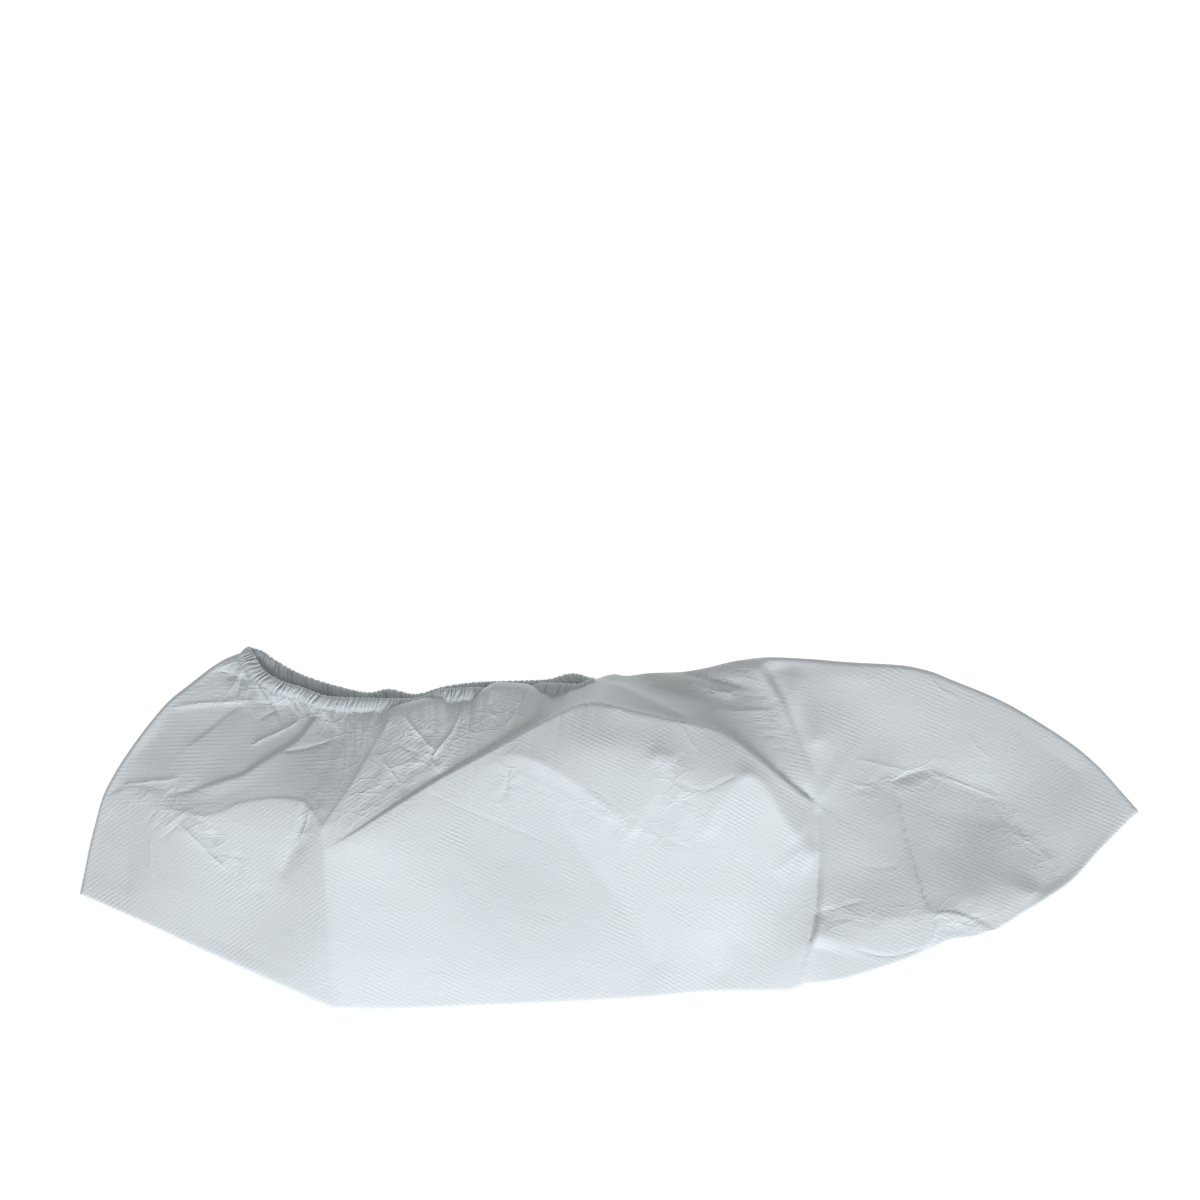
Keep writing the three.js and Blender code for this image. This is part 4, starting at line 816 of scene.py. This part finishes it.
BULGES = (  # where, x, y, how far it spreads along its run and across it, the run's angle, height
    ("heel, above its edge", -168, 17, 16, 10, 0, 0.7),
    ("heel pocket", -150, 7, 20, 9, 0, 0.5),
    ("heel corner, hollow", -128, -32, 20, 17, 0, -1.6),
    ("counter, hollow", -141, 33, 14, 11, 0, -0.8),
    ("side, behind the tongue", -90, 0, 22, 18, 0, 1.1),
    ("side, hollow at the middle", -38, -6, 30, 18, -55, -1.8),
    ("tongue, middle", -2, 28, 24, 14, -15, 1.3),
    ("tongue, front", 40, 20, 22, 18, -30, 0.8),
    ("side, foot at the front", 48, -42, 12, 12, 0, -0.5),
    ("ball crease, foot", 94, -17, 14, 12, 0, -0.9),
    ("vamp, low", 106, 34, 28, 15, -10, -1),
    ("toe dent, hollow", 138, 8, 12, 16, -30, -1.6),
    ("toe dent, swell", 138, -26, 12, 9, 0, 1.1),
    ("toe dent, front", 157, -14, 7, 8, 0, -0.4),
    ("toe cap", 172, 3, 10, 12, 0, 0.7),
    ("side, back lobe", -9, 11, 22, 5, -33, -0.1),
    ("side, middle lobe", 21, 24, 7, 5, 90, 0.15),
    ("side, middle lobe, foot", 19, 3, 8, 5, 90, -0.4),
    ("side, under the tongue", 0, 32, 14, 6, 0, 0.4),
    ("side, front lobe", 54, 20, 6, 5, 45, -0.2),
    ("side, front lobe, back", 40, 2, 12, 5, 50, -0.15),
    ("side, front facet", 72, -6, 6, 6, 40, -0.35),
    ("side, dent", 34, 18, 8, 4, 0, -0.15),
    ("tongue root", -87, 0, 14, 5, 33, 0.15),
    ("toe dent, lip", 163, -21, 9, 4, -35, -0.5),
    ("toe dent, top", 133, 11, 16, 5, -15, 0.1),
    ("toe dent, back", 121, -8, 10, 5, 90, 0.1),
    ("toe tip", 184, 11, 10, 6, -50, 0.1),
    ("toe pleat, foot", 133, -36, 10, 4, 10, -0.4),
    ("vamp", 87, 49, 8, 8, 0, -0.45),
    ("vamp, hollow", 70, 52.5, 9, 4, 90, 0.9),
    ("instep facet", 55, 52.5, 8, 6, 0, 0.15),
    ("instep streak", 27, 54.5, 12, 2.5, -12, -0.8),
    ("instep band", 15.5, 49, 12, 2.5, -8, 0.25),
    ("heel, light", -136, 0, 12, 6, 0, 0.1),
    ("heel crown", -173.5, 33.5, 10, 6, 45, -0.35),
    ("collar band", -158.5, 52.5, 12, 3.5, 10, 0.25),
    ("counter", -149, 32, 12, 5, 30, 0.2),
)


def oval(x, y, long, broad, angle):
    """How far each place of the cloth belongs to an oval area, from 1 in its middle to nothing."""
    turn = math.radians(angle)
    along = (upper_x - x) * math.cos(turn) + (upper_y - y) * math.sin(turn)
    across = (upper_y - y) * math.cos(turn) - (upper_x - x) * math.sin(turn)
    return np.exp(-((along / long) ** 2) - (across / broad) ** 2)


for _, x, y, long, broad, angle, height in BULGES:
    upper_z += height * oval(x, y, long, broad, angle) * near_edges
upper_z -= step_down(upper_x, upper_y)
from_crease, crispness = np.full(upper_z.shape, NO_CREASE), np.zeros(upper_z.shape)


def sharpen(left, lift):
    """Notes how far each place is from the nearest sharp crease, and how high that stands."""
    nearer = np.abs(left) < np.abs(from_crease)
    from_crease[nearer] = left[nearer]
    crispness[nearer] = (lift * smooth(1.5 - np.abs(left) / 2))[nearer]


for _, height, breadth, line in CREASES:
    left, along, length = beside(upper_x, upper_y, eased(line))
    ends = fading(along, length, CREASE)
    upper_z += height * ends * np.exp(-np.abs(left) / breadth) * near_edges
    if breadth < CREASE["sharp"]:
        sharpen(left, CREASE["crisp"] * height * ends)
for _, first, last, lean, breadth, line in FOLDS:
    if first:
        left, along, length = beside(upper_x, upper_y, eased(line)[:, :2])
        sharpen(left - STEP_LINE["off"], -STEP_LINE["depth"] * fading(along, length, CREASE))

# Where the cloth was crushed it keeps small sharp facets, and a trace of them all over.
CRUMPLES = (  # where, x, y, its spread along its run and across it, the run's angle, height, size of a facet
    ("all over", 0, 0, 900, 900, -20, 0.09, 13),
    ("ankle flap", -72, 28, 22, 12, 35, 0.4, 4.5),
    ("ankle flap, foot", -92, 12, 12, 6, 55, 0.25, 4),
    ("heel brow", -166, 13, 16, 6, 0, 0.3, 4.5),
    ("heel run", -150, -3, 20, 4, -45, 0.45, 3.5),
    ("heel corner", -114, 4, 12, 3.5, 70, 0.4, 3),
    ("collar", -142, 58, 14, 9, 10, 0.25, 4.5),
    ("pocket", -104, 30, 18, 10, 80, 0.3, 5),
    ("under the hem", -112, 44, 30, 6, -10, 0.5, 4.5),
    ("side dent", 25, 17, 16, 7, -60, 0.3, 4.5),
    ("side crest", -38, 18, 11, 4, 80, 0.3, 4),
    ("side, low", 5, 3, 22, 5, -22, 0.18, 5),
    ("side by the flap", -42, 42, 18, 7, 30, 0.4, 4.5),
    ("instep", 50, 56, 20, 10, 0, 0.1, 4),
    ("instep, low", 60, 40, 16, 10, 0, 0.1, 5),
    ("toe foot", 92, -33, 18, 7, 0, 0.22, 5),
    ("toe pleat", 134, -34, 18, 6, -10, 0.4, 4.5),
    ("toe dent, rim", 112, 20, 18, 5, 10, 0.3, 4.5),
    ("toe dent, front", 156, -4, 22, 6, -45, 0.3, 5),
)


FACET = {"stretch": 1.6, "tilt": 2.2}
TILE = 64  # facets before the pattern comes again


def facets(x, y, angle, size, seed):
    """A surface of small flat facets, up to 1 high or deep, with a sharp crease between any two."""
    turn = math.radians(angle)
    along = (x * math.cos(turn) + y * math.sin(turn)) / FACET["stretch"]
    across = y * math.cos(turn) - x * math.sin(turn)
    shuffle = np.random.default_rng(seed)
    jitter, height = shuffle.uniform(0, 1, (TILE, TILE, 2)), shuffle.uniform(-1, 1, (TILE, TILE))
    here = np.stack([along / size, across / size], axis=-1)
    cell = np.floor(here).astype(int)
    spots = []
    for di in range(-2, 3):
        for dj in range(-2, 3):
            at = cell + (di, dj)
            spots.append(at + jitter[at[..., 0] % TILE, at[..., 1] % TILE])
    spots = np.stack(spots)
    far = np.linalg.norm(spots - here, axis=-1)
    nearest = far.argmin(axis=0)
    own = np.take_along_axis(spots, nearest[None, ..., None], axis=0)[0]
    between = np.linalg.norm(spots - own, axis=-1)
    inwards = np.where(between > 1e-6, ((spots - here) ** 2).sum(-1) - ((own - here) ** 2).sum(-1), np.inf)
    inwards = (inwards / (2 * np.maximum(between, 1e-6))).min(axis=0)
    kept = np.floor(own).astype(int) % TILE
    return FACET["tilt"] * inwards * height[kept[..., 0], kept[..., 1]]


crushed = np.full(upper_z.shape, 0.12)
for seed, (_, x, y, long, broad, angle, height, size) in enumerate(CRUMPLES):
    spread = oval(x, y, long, broad, angle)
    here = spread > 0.02
    relief = facets(upper_x[here], upper_y[here], angle, size, seed)
    upper_z[here] += (height * spread * near_edges)[here] * relief
    crushed += min(height, 0.5) * 1.6 * spread * (long < LENGTH)

# The elastic draws the cloth into small gathers, and where the cloth rolls over the casing its edge curls.
GATHERS = (  # from x, to x, how many, least and most reach, height, slant (x for each y, downwards)
    (-136, -118, 15, 5, 17, 0.7, -0.75),
    (-120, -104, 12, 4, 13, 0.7, -0.55),
    (-106, -90, 12, 5, 22, 0.55, -0.15),
    (-92, -78, 9, 4, 14, 0.5, 0.1),
    (-63, -51, 8, 3, 10, 0.8, 0.05),
    (-48, -26, 6, 4, 12, 0.2, -0.2),
    (-24, -6, 9, 3, 9, 0.5, 0.5),
)
shuffle = np.random.default_rng(11)
below_hem = high[:, None] - upper_y
gathered = np.zeros(upper_z.shape)
for first, last, count, least, most, height, slant in GATHERS:
    for k in range(count):
        at = first + (last - first) * (k + shuffle.uniform(0.1, 0.9)) / count
        reach, breadth = shuffle.uniform(least, most), shuffle.uniform(0.5, 1.3)
        lift = height * shuffle.uniform(0.35, 1.0) * shuffle.choice((1, 1, -0.8))
        aside = upper_x - at - (slant + shuffle.uniform(-0.25, 0.25)) * -np.clip(below_hem, 0, None)
        across = np.exp(-((aside / (breadth + 0.05 * below_hem)) ** 2))
        gathered += lift * across * smooth(1 - below_hem / reach)
PUCKERS = ((1.75, 0.42, 3.0), (3.6, 0.5, 7.0), (7.4, 0.45, 15.0))  # pitch, height, how far they reach
FAN = {"slant": 0.35, "reach": 30, "turns": -70, "over": 40, "front": -0.6}  # their slant turns at that x
rim_y = column_through(NEAR_RIM, 2, column_x)
rim_run = running(np.hypot(np.diff(column_x), np.diff(rim_y)))
rim_run = rim_run - np.interp(NEAR_RIM[0][1], column_x, rim_run)
for pitch, height, reach in PUCKERS:
    count = int(200 / pitch)
    knots = np.cumsum(shuffle.uniform(0.55, 1.45, count)) * pitch
    size = shuffle.uniform(0.2, 1.0, count)
    slanting = np.clip((FAN["turns"] - upper_x) / FAN["over"], FAN["front"], 1)
    fan = rim_run[:, None] - FAN["slant"] * np.clip(below_hem, 0, FAN["reach"]) * slanting
    beat = np.interp(fan, knots, np.arange(count))
    sized = size[np.clip(beat.astype(int), 0, count - 1)]
    wave = sized * (np.abs(np.sin(math.pi * beat)) ** 0.8 - 0.5)
    gathered += height * wave * np.exp(-np.clip(below_hem, 0, None) / reach)
upper_z += gathered * on_opening[:, None]
CURL = {"drop": 2.2, "reach": 1.1}
curl = over_hem[:, None] * on_opening[:, None] * np.exp(-below_hem / CURL["reach"])
upper_z -= CURL["drop"] * curl

# The doubled cloth leans out over the layer below it.
LEAN_REACH = 3.5
moved_x, moved_y = upper_x.copy(), upper_y.copy()
for _, _, _, lean, breadth, line in FOLDS:
    if not lean:
        continue
    flat_line = eased(line)[:, :2]
    left, along, length = beside(upper_x, upper_y, flat_line)
    mile = running(np.linalg.norm(np.diff(flat_line, axis=0), axis=1))
    line_x, line_y = flat_line.T
    ahead_x, ahead_y = np.interp(along + 1, mile, line_x), np.interp(along + 1, mile, line_y)
    back_x, back_y = np.interp(along - 1, mile, line_x), np.interp(along - 1, mile, line_y)
    run = np.hypot(ahead_x - back_x, ahead_y - back_y)
    ends = fading(along, length, STEP)
    off = left + lean
    lip = np.where(off < 0, smooth(1 + off / LEAN_REACH), smooth(1 - off / breadth))
    moved_x += -(ahead_y - back_y) / run * lean * lip * ends
    moved_y += (ahead_x - back_x) / run * lean * lip * ends

# Where it comes down it lies on the side below, and along the seam the edge rolls in to the stitches.
REST = {"clear": 1.05, "ease": 0.25}  # over the side below, and how softly the cloth comes down to that
SEAM_ROLL = {"reach": 0.4, "foot": 0.45}
resting = REST["clear"] + risen(upper_x, upper_y)
upper_z = resting + REST["ease"] * np.logaddexp(0, (upper_z - resting) / REST["ease"])
edge_slope = np.gradient(low, column_x)[:, None]
from_sole = (upper_y - low[:, None]) / np.hypot(1, edge_slope)
top_slope = np.clip(np.gradient(high, column_x), -6, 6)[:, None]
from_top = (high[:, None] - upper_y) / np.hypot(1, top_slope) + 40 * on_opening[:, None]
roll = np.exp(-from_sole / SEAM_ROLL["reach"]) + np.exp(-from_top / SEAM_ROLL["reach"])
upper_z -= (SEAM_TOP - SEAM_ROLL["foot"]) * np.clip(roll, 0, 1)

upper_panel, number = grid_mesh("upper_side_cloth", UPPER_GRID["columns"], UPPER_GRID["rows"])
place_vertices(upper_panel, number, moved_x, moved_y, upper_z)


def rib_angle(x, y):
    """The way that the ribs run on each part of the side, in degrees."""
    heel_crease = ((-113.8, 9.8), (-108.5, 1.5), (-106.2, -26.8), (-104.8, -70))
    tongue = ((-106.6, -6), (-60, 23.2), (-14, 48.8), (-3.4, 49.2), (45, 36.3), (78.6, 9.8))
    heel_edge = ((-190.5, 12.1), (-164, 6), (-135.7, 12.1), (-113.8, 9.8), (-108.5, 1.5))
    ankle_flap = ((-108.5, 0), (-97.9, 14.7), (-86, 44))
    toe_crease = 78.6
    behind = beside(x, y, heel_crease)[0] < 0
    above = beside(x, y, tongue)[0] > 0
    above &= ~behind | (y > 12)
    above_heel = beside(x, y, heel_edge)[0] > 0
    toe = x > toe_crease
    flap = beside(x, y, ankle_flap)[0] < 0
    angle = np.where(x < 10, -25.0, -30.0)
    angle = np.where(behind, 36.0, angle)
    angle = np.where(above & (x < toe_crease), -14.0, angle)
    angle = np.where(above & flap & (x < -62), 34.0, angle)
    angle = np.where(above_heel & (x < -86) & ~flap, 2.0, angle)
    return np.where(toe, -23.0, angle)


lay_ribs(upper_panel, rib_angle)


def note_creases(piece, number, distance, height, crushing):
    """Stores for the material how far the nearest crease is, how high it stands, and how crushed it is."""
    by_vertex = np.empty((number.size, 3))
    by_vertex[number.ravel()] = np.stack([distance.ravel(), height.ravel(), crushing.ravel()], axis=1)
    creased = piece.data.attributes.new("creased", "FLOAT_VECTOR", "POINT")
    creased.data.foreach_set("vector", by_vertex.ravel())


note_creases(upper_panel, number, from_crease, crispness, np.clip(crushed, 0, 1))
upper_panel.data.materials.append(laminate_white)
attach(upper_panel, "root")
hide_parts("upper_side_panel")

# ---------------------------------------------------------------- the elastic band
# A narrow flat band of rubber elastic that closes the opening. It runs round inside the casing of the hem
# and draws it in.
CASING = {"width": 6.6, "thick": 2.5, "stations": 1600, "sides": 20, "pitch": 1.5, "lean": 2.6}
ELASTIC = {"width": 3.4, "thick": 0.5, "stations": 640, "sides": 12, "place": 0.45, "corners": 0.4}
FAR_HEM_Z = 2.0
COVERED_DROP = 0.9  # of the casing where the cloth lies over it
RIM = {"places": 400, "hang_rounds": 60, "line_rounds": 10}  # places on each side, and rounds of easing


def round_the_opening(count):
    """Places evenly round the rim of the opening, back along the side below, and the way its hem hangs."""
    near_x = np.linspace(NEAR_RIM[0][1], NEAR_RIM[-1][1], RIM["places"])
    far_x = np.linspace(FAR_RIM[-1][1], FAR_RIM[0][1], RIM["places"])
    near_y, far_y = column_through(NEAR_RIM, 2, near_x), column_through(FAR_RIM, 2, far_x)
    near_z = column_through(NEAR_RIM, 3, near_x)
    covered = column_through(CLOTH_AT_HEM, 3, near_x)
    near_z = near_z - COVERED_DROP * covered
    far_z = np.full(len(far_x), FAR_HEM_Z)
    rim = np.array([np.concatenate(pair) for pair in ((near_x, far_x), (near_y, far_y), (near_z, far_z))]).T
    slope = np.concatenate([np.gradient(near_y, near_x), np.gradient(far_y, far_x)])
    hang = np.stack([slope, -np.ones(len(slope)), np.zeros(len(slope))], axis=1)
    for _ in range(RIM["hang_rounds"]):
        hang = (np.roll(hang, 1, axis=0) + hang + np.roll(hang, -1, axis=0)) / 3
    mile = running(np.linalg.norm(np.diff(np.vstack([rim, rim[:1]]), axis=0), axis=1))
    at = np.linspace(0, mile[-1], count + 1)[:-1]
    rim, hang = [
        np.stack([np.interp(at, mile, np.append(part[:, k], part[0, k])) for k in range(3)], axis=1)
        for part in (rim, hang)
    ]
    for _ in range(RIM["line_rounds"]):
        rim = (np.roll(rim, 1, axis=0) + 2 * rim + np.roll(rim, -1, axis=0)) / 4
    ahead = np.roll(rim, -1, axis=0) - np.roll(rim, 1, axis=0)
    ahead /= np.linalg.norm(ahead, axis=1)[:, None]
    hang -= (hang * ahead).sum(axis=1)[:, None] * ahead
    hang /= np.linalg.norm(hang, axis=1)[:, None]
    return rim, hang, np.cross(ahead, hang), at, mile[-1]


def close_up(piece):
    """Joins the ends of a band that runs right round, and turns its faces outwards."""
    bm = bmesh.new()
    bm.from_mesh(piece.data)
    bmesh.ops.remove_doubles(bm, verts=bm.verts, dist=0.000002)
    bmesh.ops.recalc_face_normals(bm, faces=bm.faces)
    bm.to_mesh(piece.data)
    bm.free()
    piece.data.shade_smooth()


stations, sides = ELASTIC["stations"], ELASTIC["sides"]
rim, hang, face, at, round_length = round_the_opening(stations)
middle = rim + hang * CASING["width"] * ELASTIC["place"]
turn = np.linspace(0, 2 * math.pi, sides + 1)
across = ELASTIC["width"] / 2 * np.sign(np.cos(turn)) * np.abs(np.cos(turn)) ** ELASTIC["corners"]
through_band = ELASTIC["thick"] / 2 * np.sign(np.sin(turn)) * np.abs(np.sin(turn)) ** ELASTIC["corners"]
elastic_band, number = grid_mesh("elastic", stations, sides)
loop = np.append(np.arange(stations), 0)
place = middle[loop][:, None] + hang[loop][:, None] * across[None, :, None]
place = place + face[loop][:, None] * through_band[None, :, None]
place_vertices(elastic_band, number, place[..., 0], place[..., 1], place[..., 2])
close_up(elastic_band)
rubber = bpy.data.materials.new("white elastic")
rubber.use_nodes = True
nodes, links = rubber.node_tree.nodes, rubber.node_tree.links
where = nodes.new("ShaderNodeTexCoord")
cords = nodes.new("ShaderNodeTexWave")
cords.inputs["Scale"].default_value = 900
cords.inputs["Distortion"].default_value = 1.5
links.new(where.outputs["Object"], cords.inputs["Vector"])
cord_tint = tinted(nodes, links, cords.outputs["Fac"], (0.62, 0.6, 0.52), (0.74, 0.73, 0.66))
links.new(cord_tint, nodes["Principled BSDF"].inputs["Base Color"])
nodes["Principled BSDF"].inputs["Roughness"].default_value = 0.7
elastic_band.data.materials.append(rubber)
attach(elastic_band, "root")
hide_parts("elastic_band")

# ---------------------------------------------------------------- the hem casing
# A strip of the same laminate folded over the elastic and stitched down, drawn up into fine slanting
# gathers by it. It runs right round the opening.
LEAST_Z = 0.12  # the casing lies on the table
GATHER = {"wander": 0.22, "roundness": 0.7, "depth": 0.45, "varies": 0.28, "proud": 1.15}
EDGE = {"sway": 0.35, "flare": 0.3, "scallop": 0.45, "ragged": 0.4}  # "scallop" is at the rim, the rest below
stations, sides = CASING["stations"], CASING["sides"]
rim, hang, face, at, round_length = round_the_opening(stations)
shuffle = np.random.default_rng(5)
rib_count = round(round_length / CASING["pitch"])
rib_noise = shuffle.normal(size=rib_count)
rib_ends = running(shuffle.uniform(0.4, 1.6, rib_count))
rib_phase = np.interp(at / round_length, rib_ends / rib_ends[-1], np.arange(rib_count + 1))


def per_rib(phase, spread):
    """A value that changes smoothly from one gather to the next."""
    k = np.floor(phase).astype(int) % rib_count
    t = smooth(phase % 1)
    return spread * (rib_noise[k] * (1 - t) + rib_noise[(k + 1) % rib_count] * t)


# Seen from its end the casing turns over the rim, swells to its shoulder and lies flatter below.
SECTION = {"rim": 0.16, "turn": 0.02, "shoulder": 0.22, "flat_from": 0.45, "flat_over": 0.5, "flatness": 0.9}
v = np.linspace(0, 1, sides + 1)
round_fold = np.clip((v - 0.5) * 2, -1, 1)
from_rim = np.abs(round_fold)
at_rim = SECTION["turn"] * (from_rim / SECTION["rim"]) ** 2
below_rim = SECTION["turn"] + (1 - SECTION["turn"]) * (from_rim - SECTION["rim"]) / (1 - SECTION["rim"])
down = np.where(from_rim < SECTION["rim"], at_rim, below_rim)
bulge = np.sqrt(np.clip(1 - (1 - np.clip(down / SECTION["shoulder"], 0, 1)) ** 2, 0, 1))
bulge = bulge * (1 - SECTION["flatness"] * smooth((down - SECTION["flat_from"]) / SECTION["flat_over"]))
slant = CASING["lean"] / CASING["pitch"] * down[None, :]
phase = rib_phase[:, None] + slant + GATHER["wander"] * np.sin(rib_phase * 0.9)[:, None]
# Each gather is a rounded ridge, some deeper than others, and the strip sways and ends unevenly below them.
gather = np.abs(np.sin(math.pi * phase)) ** GATHER["roundness"]
depth = np.clip(GATHER["depth"] + per_rib(phase, GATHER["varies"]), 0.05, 0.95)
swell = (1 - depth) + depth * gather * GATHER["proud"]
side_of = np.sign(round_fold)[None, :]
outwards = CASING["thick"] / 2 * bulge[None, :] * swell * side_of
sway = np.sin(rib_phase * 0.31 + 2.0 * np.sin(rib_phase * 0.07))
outwards = outwards + EDGE["sway"] * sway[:, None] * down[None, :]
outwards = outwards + EDGE["flare"] * (gather - 0.5) * smooth((down - 0.6) / 0.3)[None, :]
reach = CASING["width"] * (0.94 + 0.05 * np.sin(rib_phase * 0.23 + 1))[:, None] * down[None, :]
reach = reach - EDGE["scallop"] * (gather - 0.4) * (1 - smooth(down / 0.3))[None, :]
reach = reach + per_rib(phase, EDGE["ragged"]) * smooth((down - 0.7) / 0.3)[None, :]
loop = np.append(np.arange(stations), 0)
place = rim[:, None] + hang[:, None] * reach[..., None] + face[:, None] * outwards[..., None]
place = place[loop]
place[..., 2] = np.maximum(place[..., 2], LEAST_Z)
hem_casing, number = grid_mesh("gathered_hem", stations, sides)
place_vertices(hem_casing, number, place[..., 0], place[..., 1], place[..., 2])
lay_ribs(hem_casing, lambda x, y: np.full_like(x, 70.0))
note_creases(hem_casing, number, *[np.full(number.shape, level) for level in (NO_CREASE, 0.0, 0.7)])
close_up(hem_casing)
# Painted shade: the casing takes a greyer copy of the side panels' white laminate colour, so the whole casing
# is coloured darker than the same cloth on the sides.
CASING_PAINTED_SHADE_WHITE, CASING_PAINTED_SHADE_MOTTLE = (0.68, 0.74, 0.785), (0.60, 0.655, 0.69)
gathered_painted_shade = laminate("gathered laminate with painted shade", CASING_PAINTED_SHADE_WHITE, CASING_PAINTED_SHADE_MOTTLE, RIB_DEPTH * 0.6, 0.55)
hem_casing.data.materials.append(gathered_painted_shade)
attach(hem_casing, "root")
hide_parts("hem_casing")

# ---------------------------------------------------------------- the table and the light
# A pale table, lit from the sole's side by a large soft lamp, with light from all round.
TABLE = {"half": 3, "gap": 0.0002}  # metres; the gap keeps it clear of the cloth
bm = bmesh.new()
bmesh.ops.create_grid(bm, x_segments=1, y_segments=1, size=TABLE["half"])
bmesh.ops.translate(bm, vec=(0, 0, -TABLE["gap"]), verts=bm.verts)
floor_mesh = bpy.data.meshes.new("table_top")
bm.to_mesh(floor_mesh)
bm.free()
floor = bpy.data.objects.new("table_top", floor_mesh)
bpy.context.scene.collection.objects.link(floor)
white_board = bpy.data.materials.new("white board")
white_board.use_nodes = True
board = white_board.node_tree.nodes["Principled BSDF"]
board.inputs["Base Color"].default_value = (0.2, 0.2, 0.2, 1)
board.inputs["Roughness"].default_value = 0.9
board.inputs["Emission Color"].default_value = (1, 1, 1, 1)
board.inputs["Emission Strength"].default_value = 0.95
floor_mesh.materials.append(white_board)

world = bpy.data.worlds.new("room")
bpy.context.scene.world = world
world.use_nodes = True
world.node_tree.nodes["Background"].inputs["Color"].default_value = (1, 0.98, 0.94, 1)
world.node_tree.nodes["Background"].inputs["Strength"].default_value = 0.36


def soft_lamp(name, azimuth, elevation, distance, size, power, colour):
    """A square lamp that looks at the cover, from an azimuth counted from the sole's side towards the toe."""
    turn, rise = math.radians(azimuth), math.radians(elevation)
    towards = Vector((math.sin(turn) * math.cos(rise), -math.cos(turn) * math.cos(rise), math.sin(rise)))
    light = bpy.data.lights.new(name, "AREA")
    light.shape, light.size, light.energy, light.color = "SQUARE", size, power, colour
    lamp = bpy.data.objects.new(name, light)
    lamp.location = towards * distance
    lamp.rotation_euler = towards.to_track_quat("Z", "Y").to_euler()
    bpy.context.scene.collection.objects.link(lamp)


soft_lamp("key", azimuth=12, elevation=25, distance=1.8, size=1.0, power=33, colour=(0.97, 0.985, 1))

FRAME_WIDTH = 453.6 * MM
FRAME_MIDDLE = (-3.4 * MM, 86.6 * MM)
CAMERA_HEIGHT = 3.0
SENSOR = 36
camera_data = bpy.data.cameras.new("camera")
camera_data.sensor_width = SENSOR
camera_data.lens = SENSOR * CAMERA_HEIGHT / FRAME_WIDTH
camera = bpy.data.objects.new("camera", camera_data)
camera.location = (*FRAME_MIDDLE, CAMERA_HEIGHT)
bpy.context.scene.collection.objects.link(camera)
bpy.context.scene.camera = camera
bpy.context.scene.view_settings.view_transform = "Standard"
